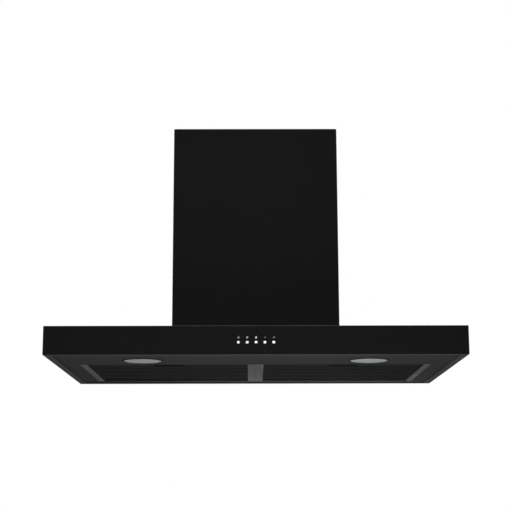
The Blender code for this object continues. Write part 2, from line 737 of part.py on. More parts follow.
def make_chimney(paint, steel):
    """The lower sleeve on the canopy, and the upper sleeve, posts and ceiling plate that rise."""
    half_x, half_y = CHIMNEY_WIDTH / 2, CHIMNEY_DEPTH / 2
    pivot = new_pivot("chimney_extend_axis", (0, 0, CHIMNEY_TOP))
    for end, side in (("front", -1), ("rear", 1)):
        half_sleeve(f"lower_chimney_{end}", half_x, half_y, side, TOP_OF_CANOPY, CHIMNEY_TOP, paint)
        half_sleeve(
            f"upper_chimney_{end}",
            half_x - SLEEVE_STEP,
            half_y - SLEEVE_STEP,
            side,
            UPPER_TOP - UPPER_SLEEVE_LENGTH,
            UPPER_TOP,
            paint,
            pivot,
        )
    plate_bottom = CEILING_TOP - CEILING_PLATE_SHEET
    corner_x, corner_y = UPPER_INSIDE_X - POST_INSET, UPPER_INSIDE_Y - POST_INSET
    nested = POST_SHEET + FIT_GAP
    for end, side_y in (("front", -1), ("rear", 1)):
        for hand, side_x in (("left", -1), ("right", 1)):
            place = (side_x * corner_x, side_y * corner_y)
            lower = angle_post(f"lower_post_{end}_{hand}", *place, TOP_OF_CANOPY, LOWER_POST_TOP, steel)
            inner = (place[0] - side_x * POST_SHEET / 2, place[1] - side_y * POST_SHEET / 2)
            foot = (place[0] - side_x * POST_LEG, place[1] - side_y * POST_LEG)
            join_boxes(lower, ((*inner, TOP_OF_CANOPY), (*foot, TOP_OF_CANOPY + POST_SHEET)))
            angle_post(
                f"upper_post_{end}_{hand}",
                side_x * (corner_x - nested),
                side_y * (corner_y - nested),
                UPPER_POST_BOTTOM,
                plate_bottom - FIT_GAP,
                steel,
                pivot,
            )
    make_ceiling_plate(steel, plate_bottom, pivot)


def make_ceiling_plate(steel, plate_bottom, pivot):
    """The flanged plate at the top, with its duct hole and four anchor slots."""
    edge_x, edge_y = UPPER_INSIDE_X - FIT_GAP, UPPER_INSIDE_Y - FIT_GAP
    sheet = CEILING_PLATE_SHEET
    plate = box_object(
        "ceiling_plate",
        (-edge_x, -edge_y, plate_bottom - CEILING_FLANGE),
        (edge_x, edge_y, CEILING_TOP),
        steel,
        pivot,
    )
    cut_boxes(
        plate,
        (
            (-edge_x + sheet, -edge_y + sheet, plate_bottom - CEILING_FLANGE - CUT_PAST),
            (edge_x - sheet, edge_y - sheet, plate_bottom),
        ),
    )
    below, above = plate_bottom - CUT_PAST, CEILING_TOP + CUT_PAST
    cut_rods(plate, ((0, 0, below), (0, 0, above), DUCT_HOLE_RADIUS))
    slots = [
        (
            (x - ANCHOR_SLOT_LENGTH / 2, y - ANCHOR_SLOT_WIDTH / 2, below),
            (x + ANCHOR_SLOT_LENGTH / 2, y + ANCHOR_SLOT_WIDTH / 2, above),
        )
        for x in (-ANCHOR_SPACING_X / 2, ANCHOR_SPACING_X / 2)
        for y in (-ANCHOR_SPACING_Y / 2, ANCHOR_SPACING_Y / 2)
    ]
    cut_boxes(plate, *slots)


def scroll_outline(outset):
    """The fan scroll as (x, z) points: a spiral that widens evenly into an upright outlet."""
    inner_wall = SCROLL_END_RADIUS - SCROLL_OUTLET_WIDTH
    start = acos((inner_wall - outset) / (SCROLL_START_RADIUS + outset))
    points = []
    for step in range(SCROLL_STEPS + 1):
        angle = start + (2 * pi - start) * step / SCROLL_STEPS
        radius = SCROLL_START_RADIUS + (angle - SCROLL_TONGUE) * SCROLL_GROWTH + outset
        points.append((SCROLL_X + radius * cos(angle), SCROLL_Z + radius * sin(angle)))
    right = SCROLL_X + SCROLL_END_RADIUS + outset
    left = SCROLL_X + inner_wall - outset
    top = SCROLL_TOP + (0 if outset else CUT_PAST)
    return points + [(right, top), (left, top)]


def make_blower(steel, plastic, cast):
    """The blower box on the canopy, and the two halves of the scroll that hangs in it."""
    half_x, half_y = BLOWER_WIDTH / 2, BLOWER_DEPTH / 2
    wall = BLOWER_SHEET
    box = box_object("blower_box", (-half_x, -half_y, TOP_OF_CANOPY), (half_x, half_y, BLOWER_TOP), steel)
    below = TOP_OF_CANOPY - CUT_PAST
    inside_x, inside_y = half_x - wall, half_y - wall
    cut_boxes(box, ((-inside_x, -inside_y, below), (inside_x, inside_y, BLOWER_TOP - wall)))
    outlet_x, outlet_y = SCROLL_OUTLET_WIDTH / 2, SCROLL_DEPTH / 2 - SCROLL_SHEET
    cut_boxes(
        box,
        ((-outlet_x, -outlet_y, BLOWER_TOP - CUT_PAST), (outlet_x, outlet_y, BLOWER_TOP + CUT_PAST)),
    )
    for end, side in (("front", -1), ("rear", 1)):
        seam, far = side * FIT_GAP / 2, side * SCROLL_DEPTH / 2
        outside = scroll_outline(SCROLL_SHEET)
        half = prism_object(f"scroll_{end}", outside, *sorted((seam, far)), plastic, axis="Y")
        hollow = bmesh.new()
        inner = far - side * SCROLL_SHEET
        add_prism(hollow, scroll_outline(0), *sorted((seam - side * CUT_PAST, inner)), axis="Y")
        combine(half, hollow, "DIFFERENCE")
        eye_ends = (far + side * CUT_PAST, inner - side * CUT_PAST)
        cut_rods(half, (*((SCROLL_X, y, SCROLL_Z) for y in eye_ends), SCROLL_INLET_RADIUS))
    mesh = bmesh.new()
    capacitor_z = BLOWER_TOP - wall - FIT_GAP
    add_rod(
        mesh,
        (CAPACITOR_X, 0, capacitor_z - CAPACITOR_HEIGHT),
        (CAPACITOR_X, 0, capacitor_z),
        CAPACITOR_RADIUS,
    )
    new_object("motor_capacitor", mesh, cast)


def make_motor(steel, cast, plastic):
    """The impeller on its shaft, the motor inside its rear half, and the bracket that holds it."""
    pivot = new_pivot("impeller_axis", (SCROLL_X, 0, SCROLL_Z))
    at = (SCROLL_X, SCROLL_Z)
    bore = SHAFT_RADIUS + FIT_GAP
    rim = IMPELLER_RADIUS - BLADE_SHEET
    mesh = bmesh.new()
    add_rod(mesh, (at[0], -HUB_SHEET / 2, at[1]), (at[0], HUB_SHEET / 2, at[1]), rim, FINE)
    impeller = new_object("impeller", mesh, plastic, pivot)
    boss = bmesh.new()
    add_rod(boss, (at[0], -HUB_BOSS_LENGTH, at[1]), (at[0], 0, at[1]), HUB_BOSS_RADIUS)
    combine(impeller, boss, "UNION")
    blades = bmesh.new()
    for index in range(BLADE_COUNT):
        turn = Matrix.Rotation(2 * pi * index / BLADE_COUNT, 4, "Y")
        lean = Matrix.Rotation(BLADE_ANGLE, 4, "Y")
        out = Matrix.Translation((rim - BLADE_DEPTH / 2, 0, 0))
        size = Matrix.Diagonal((BLADE_DEPTH, IMPELLER_LENGTH - HUB_SHEET, BLADE_SHEET, 1.0))
        place = Matrix.Translation((at[0], 0, at[1]))
        bmesh.ops.create_cube(blades, size=1.0, matrix=place @ turn @ out @ lean @ size)
    combine(impeller, blades, "UNION")
    for side in (-1, 1):
        ring = bmesh.new()
        start, end = side * (IMPELLER_LENGTH / 2 - HUB_SHEET), side * IMPELLER_LENGTH / 2
        inner = rim - BLADE_DEPTH
        add_turned(
            ring,
            [(inner, start), (IMPELLER_RADIUS, start), (IMPELLER_RADIUS, end), (inner, end)],
            (0, 0, 0),
        )
        upright = Matrix.Translation((at[0], 0, at[1])) @ Matrix.Rotation(-pi / 2, 4, "X")
        bmesh.ops.transform(ring, matrix=upright, verts=ring.verts)
        combine(impeller, ring, "UNION")
    half_length = IMPELLER_LENGTH / 2
    cut_rods(impeller, ((at[0], -half_length, at[1]), (at[0], half_length, at[1]), bore))
    mesh = bmesh.new()
    shaft_end = MOTOR_FRONT + SHAFT_REACH - FIT_GAP
    add_rod(mesh, (at[0], -SHAFT_FRONT, at[1]), (at[0], shaft_end, at[1]), SHAFT_RADIUS)
    new_object("motor_shaft", mesh, steel, pivot)
    mesh = bmesh.new()
    motor_back = MOTOR_FRONT + MOTOR_LENGTH
    add_rod(mesh, (at[0], MOTOR_FRONT, at[1]), (at[0], motor_back, at[1]), MOTOR_RADIUS, FINE)
    motor = new_object("motor_body", mesh, cast)
    cut_rods(motor, ((at[0], 0, at[1]), (at[0], MOTOR_FRONT + SHAFT_REACH, at[1]), bore))
    make_motor_bracket(steel, at)


def make_motor_bracket(steel, at):
    """A ring round the motor with four arms that lie on the scroll's rear side."""
    front = SCROLL_DEPTH / 2 + FIT_GAP
    back = front + BRACKET_SHEET
    reach = SCROLL_INLET_RADIUS + BRACKET_REACH
    mesh = bmesh.new()
    add_rod(mesh, (at[0], front, at[1]), (at[0], back, at[1]), MOTOR_RADIUS + BRACKET_RING, FINE)
    bracket = new_object("motor_bracket", mesh, steel)
    half = BRACKET_ARM_WIDTH / 2
    join_boxes(bracket, ((at[0] - reach, front, at[1] - half), (at[0] + reach, back, at[1] + half)))
    join_boxes(bracket, ((at[0] - half, front, at[1] - reach), (at[0] + half, back, at[1] + reach)))
    cut_rods(
        bracket,
        ((at[0], front - CUT_PAST, at[1]), (at[0], back + CUT_PAST, at[1]), MOTOR_RADIUS + FIT_GAP),
    )


def make_outlet(plastic, steel):
    """The round duct collar on the blower, and the two flaps of its damper on their pin."""
    bore = COLLAR_RADIUS - COLLAR_SHEET
    half = COLLAR_FLANGE / 2
    collar = box_object(
        "outlet_collar", (-half, -half, COLLAR_FOOT), (half, half, COLLAR_FOOT + COLLAR_SHEET), plastic
    )
    tube = bmesh.new()
    add_rod(
        tube,
        (0, 0, COLLAR_FOOT + COLLAR_SHEET / 2),
        (0, 0, COLLAR_FOOT + COLLAR_HEIGHT),
        COLLAR_RADIUS,
        FINE,
    )
    combine(collar, tube, "UNION")
    cut_rods(collar, ((0, 0, COLLAR_FOOT - CUT_PAST), (0, 0, COLLAR_FOOT + COLLAR_HEIGHT + CUT_PAST), bore))
    pin_end = bore - 3 * FIT_GAP
    mesh = bmesh.new()
    add_rod(mesh, (0, -pin_end, DAMPER_Z), (0, pin_end, DAMPER_Z), DAMPER_PIN_RADIUS, 16)
    new_object("damper_pin", mesh, steel)
    for hand, side, first in (("left", -1, -1.5), ("right", 1, -0.5)):
        make_damper_flap(hand, side, first, bore, plastic)


def make_damper_flap(hand, side, first, bore, plastic):
    """A half-round flap hinged on the pin by two barrels; first is its first barrel's slot."""
    pivot = new_pivot(f"damper_flap_{hand}_axis", (0, 0, DAMPER_Z))
    radius = bore - DAMPER_CLEARANCE
    edge = DAMPER_BARREL_RADIUS + FIT_GAP
    reach = acos(edge / radius)
    steps = COARSE // 2
    outline = [
        (side * radius * cos(angle), radius * sin(angle))
        for angle in (reach * (2 * step / steps - 1) for step in range(steps + 1))
    ]
    low, high = DAMPER_Z - DAMPER_SHEET / 2, DAMPER_Z + DAMPER_SHEET / 2
    flap = prism_object(f"damper_flap_{hand}", outline, low, high, plastic, pivot)
    half = DAMPER_BARREL_LENGTH / 2
    barrels = bmesh.new()
    webs = []
    for y in (first * DAMPER_BARREL_PITCH, (first + 2) * DAMPER_BARREL_PITCH):
        add_rod(barrels, (0, y - half, DAMPER_Z), (0, y + half, DAMPER_Z), DAMPER_BARREL_RADIUS, 16)
        webs.append(((0, y - half + FIT_GAP, low), (side * (edge + FIT_GAP), y + half - FIT_GAP, high)))
    join_boxes(flap, *webs)
    combine(flap, barrels, "UNION")
    cut_rods(flap, ((0, -bore, DAMPER_Z), (0, bore, DAMPER_Z), DAMPER_PIN_RADIUS + FIT_GAP))


def clear_scene():
    """Removes every object of the scene."""
    for item in list(bpy.data.objects):
        bpy.data.objects.remove(item, do_unlink=True)


def main():
    """Builds the whole hood."""
    clear_scene()
    paint = new_material("black_paint", (0.010, 0.010, 0.011), 0.28)
    steel = new_material("galvanised_steel", (0.42, 0.43, 0.44), 0.45, 1.0)
    bezel_black = new_material("lamp_bezel_black", (0.020, 0.020, 0.022), 0.30)
    aluminium = new_material("satin_aluminium", (0.34, 0.34, 0.35), 0.42, 1.0)
    frosted = new_material("frosted_lens", (0.62, 0.65, 0.65), 0.50)
    cast = new_material("cast_aluminium", (0.30, 0.30, 0.31), 0.60, 1.0)
    white = new_material("button_white", (0.85, 0.85, 0.84), 0.30)
    black = new_material("black_plastic", (0.018, 0.018, 0.018), 0.55)
    green = new_material("circuit_board_green", (0.020, 0.110, 0.050), 0.50)
    make_canopy(paint)
    make_base_panel(paint)
    make_filter_rails(steel)
    for side_name, side in (("left", -1), ("right", 1)):
        make_lamp(side_name, side, bezel_black, frosted, cast)
        make_filter(side_name, side, paint, aluminium, steel)
    make_controls(white, black, frosted)
    make_electronics(steel, green, black, black)
    make_chimney(paint, steel)
    make_blower(steel, black, cast)
    make_motor(steel, cast, black)
    make_outlet(black, steel)


if __name__ == "__main__":
    main()
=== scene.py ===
"""Looks of an island range hood: painted skins, baffle filters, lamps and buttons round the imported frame.

Everything is in metres in the frame's own axes: +X right, -Y front, +Z up.
"""

from __future__ import annotations

import json
import logging
from dataclasses import dataclass, field
from enum import Enum
from math import cos, pi, radians, sin

import bmesh
import bpy
import numpy as np
from mathutils import Matrix, Vector

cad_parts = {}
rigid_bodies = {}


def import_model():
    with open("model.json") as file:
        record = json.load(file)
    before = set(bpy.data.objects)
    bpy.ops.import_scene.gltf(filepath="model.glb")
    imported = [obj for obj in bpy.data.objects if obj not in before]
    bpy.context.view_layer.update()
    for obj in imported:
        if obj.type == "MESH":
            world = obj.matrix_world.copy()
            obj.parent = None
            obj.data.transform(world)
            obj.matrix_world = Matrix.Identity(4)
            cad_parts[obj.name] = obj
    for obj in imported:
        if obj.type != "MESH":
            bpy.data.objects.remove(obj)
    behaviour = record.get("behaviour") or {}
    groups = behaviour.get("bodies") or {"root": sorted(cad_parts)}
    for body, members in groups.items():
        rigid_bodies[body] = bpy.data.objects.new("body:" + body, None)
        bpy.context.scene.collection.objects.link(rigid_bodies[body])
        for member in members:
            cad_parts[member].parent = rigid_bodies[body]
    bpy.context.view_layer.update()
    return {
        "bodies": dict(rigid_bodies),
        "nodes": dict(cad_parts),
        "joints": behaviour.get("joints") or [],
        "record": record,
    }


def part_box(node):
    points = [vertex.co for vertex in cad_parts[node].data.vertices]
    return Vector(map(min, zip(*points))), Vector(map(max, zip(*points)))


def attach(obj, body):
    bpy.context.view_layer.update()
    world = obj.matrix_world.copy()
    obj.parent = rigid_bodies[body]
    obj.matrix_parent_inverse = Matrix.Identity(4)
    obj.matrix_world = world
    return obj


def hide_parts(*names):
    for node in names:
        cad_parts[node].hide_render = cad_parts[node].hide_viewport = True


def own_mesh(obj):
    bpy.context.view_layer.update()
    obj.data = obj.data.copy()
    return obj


LOG = logging.getLogger("range_hood")
MM = 0.001
Colour = tuple[float, float, float]
Corner = tuple[float, float, float]


class Side(Enum):
    """Which half of the hood a piece belongs to, seen from the front."""

    LEFT = -1
    RIGHT = 1

    @property
    def word(self) -> str:
        """The side's word in node names."""
        return self.name.lower()


class End(Enum):
    """Which end of the hood a piece belongs to."""

    FRONT = -1
    REAR = 1

    @property
    def word(self) -> str:
        """The end's word in node names."""
        return self.name.lower()


# ---------------------------------------------------------------- surfaces


def bend(corners: np.ndarray, radius: float, closed: bool, steps: int = 5, lead: float = 0.25 * MM) -> np.ndarray:
    """Rounds the corners of a flat line, as a press brake rounds folds.

    Each corner becomes the arc that touches both of its sides: it starts radius / tan(half the corner's angle)
    before the corner, and its centre lies on the bisector. A point one lead before and after each arc keeps the
    flat sides flat.

    Args:
        corners: The line's corners, (n, 2).
        radius: The arc's radius.
        closed: Whether the last corner joins the first.
        steps: Straight sides of each arc.
        lead: How far before and after an arc the extra points lie.

    Returns:
        The rounded line's points, (m, 2).
    """
    points = np.asarray(corners, float)
    before, after = np.roll(points, 1, 0) - points, np.roll(points, -1, 0) - points
    before /= np.linalg.norm(before, axis=1, keepdims=True)
    after /= np.linalg.norm(after, axis=1, keepdims=True)
    angle = np.arccos(np.clip((before * after).sum(1), -1, 1))[:, None]
    reach = radius / np.tan(angle / 2)
    middle = before + after
    middle /= np.linalg.norm(middle, axis=1, keepdims=True)
    centre = points + middle * radius / np.sin(angle / 2)
    turn = (pi - angle)[:, None]
    share = np.linspace(0, 1, steps + 1)[None, :, None]
    start, end = points + before * reach - centre, points + after * reach - centre
    arcs = np.sin((1 - share) * turn) * start[:, None] + np.sin(share * turn) * end[:, None]
    arcs = centre[:, None] + arcs / np.sin(turn)
    first = (points + before * (reach + lead))[:, None]
    last = (points + after * (reach + lead))[:, None]
    rounded = np.concatenate([first, arcs, last], axis=1)
    if closed:
        return rounded.reshape(-1, 2)
    return np.concatenate([points[:1], rounded[1:-1].reshape(-1, 2), points[-1:]])


def rounded_rings(rows: np.ndarray, corner: float, steps: int = 5, lead: float = 0.3 * MM) -> np.ndarray:
    """Lays a rectangle with rounded corners at each row's half sizes and height.

    A point at angle a of a corner is at the corner's centre plus r (cos a, sin a), where the centre is r inside
    both sides. r is the corner radius less the row's inset from the widest row, and never under a tenth of it.

    Args:
        rows: (m, 3) array of half width, half depth and height.
        corner: The corner radius of the widest row.
        steps: Straight sides of each corner.
        lead: How far before and after a corner the extra points lie.

    Returns:
        Points of shape (m, n, 3), each row a closed ring.
    """
    half_x, half_y, height = (rows[:, i, None] for i in range(3))
    inset = half_x.max() - half_x
    radius = np.clip(corner - inset, 0.1 * corner, corner)
    quarter = np.linspace(0, pi / 2, steps + 1)
    quarter = np.concatenate([[0], quarter, [pi / 2]])
    slide_x = np.concatenate([np.zeros(steps + 2), [-lead]])
    slide_y = np.concatenate([[-lead], np.zeros(steps + 2)])
    signs = ((1, 1), (-1, 1), (-1, -1), (1, -1))
    x_parts, y_parts = [], []
    for index, (sx, sy) in enumerate(signs):
        order = slice(None) if index % 2 == 0 else slice(None, None, -1)
        x = (half_x - radius) + radius * np.cos(quarter) + slide_x
        y = (half_y - radius) + radius * np.sin(quarter) + slide_y
        x_parts.append(sx * x[:, order])
        y_parts.append(sy * y[:, order])
    x, y = np.concatenate(x_parts, 1), np.concatenate(y_parts, 1)
    return np.stack([x, y, np.broadcast_to(height, x.shape)], axis=-1)


def along_x(profile: np.ndarray, low: float, high: float) -> np.ndarray:
    """Carries a (y, z) profile straight along X: the grid's point (i, j) is (x of end i, profile j)."""
    ends = np.array([low, high])[:, None]
    x = np.broadcast_to(ends, (2, len(profile)))
    flat = np.broadcast_to(profile, (2, *profile.shape))
    return np.concatenate([x[..., None], flat], axis=-1)


def along_y(profile: np.ndarray, low: float, high: float) -> np.ndarray:
    """Carries a (x, z) profile straight along Y: the grid's point (i, j) is (profile x, y of end i, profile z)."""
    return along_x(profile, low, high)[..., [1, 0, 2]]


def carried(path: np.ndarray, profile: np.ndarray) -> np.ndarray:
    """Carries a profile of (outset, height) along a level path that isn't closed.

    A point is the path's point plus outset times the path's right-hand normal there, at the profile's height.

    Args:
        path: (n, 2) points, seen from above.
        profile: (k, 2) closed outline of outset and height.

    Returns:
        Points of shape (n, k, 3).
    """
    step = np.gradient(path, axis=0)
    step /= np.linalg.norm(step, axis=1, keepdims=True)
    normal = np.stack([step[:, 1], -step[:, 0]], axis=1)
    flat = path[:, None] + profile[None, :, :1] * normal[:, None]
    height = np.broadcast_to(profile[None, :, 1:], (*flat.shape[:2], 1))
    return np.concatenate([flat, height], axis=-1)


def turned(profile: np.ndarray, centre: Corner, steps: int = 64) -> np.ndarray:
    """Turns a profile of (radius, height) about a vertical axis: (r cos a, r sin a, h) from the centre."""
    angle = np.linspace(0, 2 * pi, steps, endpoint=False)[:, None]
    radius, height = profile[None, :, 0], profile[None, :, 1]
    spun = np.stack([radius * np.cos(angle), radius * np.sin(angle), height + 0 * angle], axis=-1)
    return spun + np.asarray(centre)


def helix_tube(start: Corner, length: float, radius: float, wire: float, turns: int) -> np.ndarray:
    """A coil spring along Y: the wire's middle is (R cos t, c t, R sin t), with a circle of its radius round it."""
    t = np.linspace(0, 2 * pi * turns, 14 * turns)[:, None]
    ring = np.linspace(0, 2 * pi, 7)[None, :-1]
    out = radius + wire * np.cos(ring)
    x, z = out * np.cos(t), out * np.sin(t)
    y = length * t / t.max() + wire * np.sin(ring)
    return np.stack([x, y, z], axis=-1) + np.asarray(start)


@dataclass
class Skin:
    """Gathers closed surfaces, each a grid of points, into one mesh."""

    name: str
    points: list[np.ndarray] = field(default_factory=list)
    faces: list[list[int]] = field(default_factory=list)
    count: int = 0

    def add(self, grid: np.ndarray, wrap_rows: bool = False, cap: bool = True) -> Skin:
        """Adds a grid whose columns close on themselves.

        Args:
            grid: (rows, columns, 3) points.
            wrap_rows: Whether the last row joins the first.
            cap: Whether the first and last rows are closed with a face, when they don't join.

        Returns:
            This skin, so that calls can follow each other.
        """
        rows, columns = grid.shape[:2]
        index = np.arange(rows * columns).reshape(rows, columns) + self.count
        if cap and not wrap_rows:
            self.faces += [index[0].tolist(), index[-1, ::-1].tolist()]
        if wrap_rows:
            index = np.concatenate([index, index[:1]])
        index = np.concatenate([index, index[:, :1]], axis=1)
        quads = np.stack([index[:-1, :-1], index[1:, :-1], index[1:, 1:], index[:-1, 1:]], axis=-1)
        self.faces += quads.reshape(-1, 4).tolist()
        self.points.append(grid.reshape(-1, 3))
        self.count += rows * columns
        return self

    def block(self, low: Corner, high: Corner, edge: float = 0.4 * MM, steps: int = 2) -> Skin:
        """Adds a block with rounded edges: rings whose half sizes shrink by edge (1 - sin a) towards each end."""
        low_, high_ = np.minimum(low, high), np.maximum(low, high)
        half, middle = (high_ - low_) / 2, (high_ + low_) / 2
        angle = np.linspace(0, pi / 2, steps + 1)
        inset = np.concatenate([edge * (1 - np.sin(angle)), edge * (1 - np.cos(angle))])
        drop = np.concatenate([edge * (1 - np.cos(angle)), 2 * half[2] - edge * (1 - np.sin(angle))])
        rows = np.stack([half[0] - inset, half[1] - inset, low_[2] + drop], axis=1)
        return self.add(rounded_rings(rows, edge, steps, edge / 4) + [middle[0], middle[1], 0])

    def build(self, smooth_under: float = 40.0) -> bpy.types.Object:
        """Makes the object, with its faces pointing out and edges over the given angle, in degrees, kept sharp."""
        mesh = bpy.data.meshes.new(self.name)
        mesh.from_pydata(np.concatenate(self.points), [], self.faces)
        shape = bmesh.new()
        shape.from_mesh(mesh)
        bmesh.ops.remove_doubles(shape, verts=shape.verts, dist=1e-7)
        bmesh.ops.recalc_face_normals(shape, faces=shape.faces)
        shape.to_mesh(mesh)
        shape.free()
        mesh.shade_smooth()
        mesh.set_sharp_from_angle(angle=radians(smooth_under))
        piece = bpy.data.objects.new(self.name, mesh)
        bpy.context.scene.collection.objects.link(piece)
        return piece


def carve(piece: bpy.types.Object, cutter: Skin) -> None:
    """Cuts a skin out of a piece and removes the cutter."""
    tool = cutter.build()
    boolean = piece.modifiers.new("holes", "BOOLEAN")
    boolean.operation, boolean.solver, boolean.object = "DIFFERENCE", "EXACT", tool
    graph = bpy.context.evaluated_depsgraph_get()
    cut = bpy.data.meshes.new_from_object(piece.evaluated_get(graph))
    piece.modifiers.clear()
    piece.data = cut
    bpy.data.objects.remove(tool, do_unlink=True)
    cut.set_sharp_from_angle(angle=radians(40))


# ---------------------------------------------------------------- finishes


class Nodes:
    """A new material's node tree, with short ways to add and join nodes."""

    def __init__(self, name: str) -> None:
        """Starts a material with one Principled shader."""
        self.material = bpy.data.materials.new(name)
        self.material.use_nodes = True
        self.tree = self.material.node_tree
        self.shader = next(n for n in self.tree.nodes if n.type == "BSDF_PRINCIPLED")
        self.place = self.add("ShaderNodeTexCoord").outputs["Object"]

    def add(self, kind: str, **values: object) -> bpy.types.Node:
        """Adds a node and sets its properties or its inputs by name."""
        node = self.tree.nodes.new(kind)
        for key, value in values.items():
            if hasattr(node, key):
                setattr(node, key, value)
            else:
                node.inputs[key.replace("_", " ")].default_value = value
        return node

    def link(self, start: bpy.types.NodeSocket, end: bpy.types.NodeSocket) -> None:
        """Joins two sockets."""
        self.tree.links.new(start, end)

    def fixed(self, **values: object) -> None:
        """Sets the shader's own sockets; an underscore stands for a space."""
        for key, value in values.items():
            self.shader.inputs[key.replace("_", " ")].default_value = value

    def noise(self, scale: Corner, detail: float = 3.0) -> bpy.types.NodeSocket:
        """A noise between 0 and 1 with the given number of waves per metre along each axis."""
        mapping = self.add("ShaderNodeMapping")
        mapping.inputs["Scale"].default_value = scale
        texture = self.add("ShaderNodeTexNoise", Scale=1.0, Detail=detail)
        self.link(self.place, mapping.inputs["Vector"])
        self.link(mapping.outputs["Vector"], texture.inputs["Vector"])
        return texture.outputs["Fac"]

    def spread(self, source: bpy.types.NodeSocket, low: float, high: float) -> bpy.types.NodeSocket:
        """Spreads the middle of a noise over a range of values."""
        ranged = self.add("ShaderNodeMapRange")
        for key, value in (("From Min", 0.3), ("From Max", 0.7), ("To Min", low), ("To Max", high)):
            ranged.inputs[key].default_value = value
        self.link(source, ranged.inputs["Value"])
        return ranged.outputs["Result"]

    def tint(self, source: bpy.types.NodeSocket, dark: Colour, light: Colour) -> None:
        """Colours the shader between two colours by a noise."""
        ramp = self.add("ShaderNodeValToRGB")
        ramp.color_ramp.elements[0].position, ramp.color_ramp.elements[1].position = 0.3, 0.7
        ramp.color_ramp.elements[0].color = (*dark, 1)
        ramp.color_ramp.elements[1].color = (*light, 1)
        self.link(source, ramp.inputs["Fac"])
        self.link(ramp.outputs["Color"], self.shader.inputs["Base Color"])

    def bump(self, source: bpy.types.NodeSocket, depth: float, strength: float = 1.0) -> None:
        """Raises the surface by a noise, up to a depth in metres."""
        bump = self.add("ShaderNodeBump", Strength=strength, Distance=depth)
        self.link(source, bump.inputs["Height"])
        self.link(bump.outputs["Normal"], self.shader.inputs["Normal"])


@dataclass(frozen=True)
class Paint:
    """Sprayed paint: faint orange peel, and a sheen that varies a little."""

    slot: str
    colour: Colour
    roughness: float
    specular: float = 0.5
    peel: float = 0.01 * MM

    def material(self) -> bpy.types.Material:
        """Makes the material."""
        nodes = Nodes(self.slot)
        cloud = nodes.noise((9, 9, 9), 5.0)
        light = tuple(1.08 * part for part in self.colour)
        nodes.tint(cloud, self.colour, light)
        sheen = nodes.spread(nodes.noise((45, 45, 45), 4.0), self.roughness - 0.012, self.roughness + 0.012)
        nodes.link(sheen, nodes.shader.inputs["Roughness"])
        nodes.bump(nodes.noise((700, 700, 700), 2.0), self.peel, 0.12)
        nodes.fixed(Specular_IOR_Level=self.specular)
        return nodes.material


@dataclass(frozen=True)
class Drawn:
    """Metal with fine lines along one axis, left by rolling or drawing."""

    slot: str
    colour: Colour
    roughness: float
    lines: Corner = (1400, 6, 1400)
    contrast: float = 0.18
    metallic: float = 1.0

    def material(self) -> bpy.types.Material:
        """Makes the material."""
        nodes = Nodes(self.slot)
        lines = nodes.noise(self.lines, 4.0)
        dark = tuple((1 - self.contrast) * part for part in self.colour)
        light = tuple((1 + self.contrast) * part for part in self.colour)
        nodes.tint(lines, dark, light)
        rough = nodes.spread(lines, self.roughness - 0.07, self.roughness + 0.07)
        nodes.link(rough, nodes.shader.inputs["Roughness"])
        nodes.bump(lines, 0.02 * MM, 0.35)
        nodes.fixed(Metallic=self.metallic)
        return nodes.material


@dataclass(frozen=True)
class Zinc:
    """Zinc-coated sheet: flat crystals of slightly different greys."""

    slot: str
    colour: Colour
    roughness: float
    crystals: float = 90.0

    def material(self) -> bpy.types.Material:
        """Makes the material."""
        nodes = Nodes(self.slot)
        cells = nodes.add("ShaderNodeTexVoronoi", Scale=self.crystals)
        nodes.link(nodes.place, cells.inputs["Vector"])
        grey = nodes.add("ShaderNodeRGBToBW")
        nodes.link(cells.outputs["Color"], grey.inputs["Color"])
        dark = tuple(0.90 * part for part in self.colour)
        nodes.tint(grey.outputs["Val"], dark, self.colour)
        rough = nodes.spread(grey.outputs["Val"], self.roughness - 0.08, self.roughness + 0.08)
        nodes.link(rough, nodes.shader.inputs["Roughness"])
        nodes.bump(nodes.noise((160, 160, 160), 3.0), 0.02 * MM, 0.2)
        nodes.fixed(Metallic=0.6)
        return nodes.material


@dataclass(frozen=True)
class Moulded:
    """Moulded plastic with a fine spark-eroded grain."""

    slot: str
    colour: Colour
    roughness: float
    grain: float = 0.02 * MM
    glow: float = 0.0
    specular: float = 0.5

    def material(self) -> bpy.types.Material:
        """Makes the material."""
        nodes = Nodes(self.slot)
        grain = nodes.noise((2600, 2600, 2600), 2.0)
        light = tuple(min(1.0, 1.06 * part) for part in self.colour)
        nodes.tint(nodes.noise((60, 60, 60), 3.0), self.colour, light)
        rough = nodes.spread(grain, self.roughness - 0.05, self.roughness + 0.05)
        nodes.link(rough, nodes.shader.inputs["Roughness"])
        nodes.bump(grain, self.grain, 0.3)
        nodes.fixed(Specular_IOR_Level=self.specular)
        if self.glow:
            nodes.fixed(Emission_Color=(*self.colour, 1), Emission_Strength=self.glow)
        return nodes.material


@dataclass(frozen=True)
class Frosted:
    """Frosted lamp glass: pale, softly lit from within its thickness, with a fine etched surface."""

    slot: str
    colour: Colour
    roughness: float

    def material(self) -> bpy.types.Material:
        """Makes the material."""
        nodes = Nodes(self.slot)
        etched = nodes.noise((900, 900, 900), 3.0)
        dark = tuple(0.93 * part for part in self.colour)
        nodes.tint(nodes.noise((70, 70, 70), 3.0), dark, self.colour)
        rough = nodes.spread(etched, self.roughness - 0.06, self.roughness + 0.06)
        nodes.link(rough, nodes.shader.inputs["Roughness"])
        nodes.bump(etched, 0.03 * MM, 0.4)
        nodes.fixed(Subsurface_Weight=0.25, Subsurface_Scale=0.002)
        return nodes.material


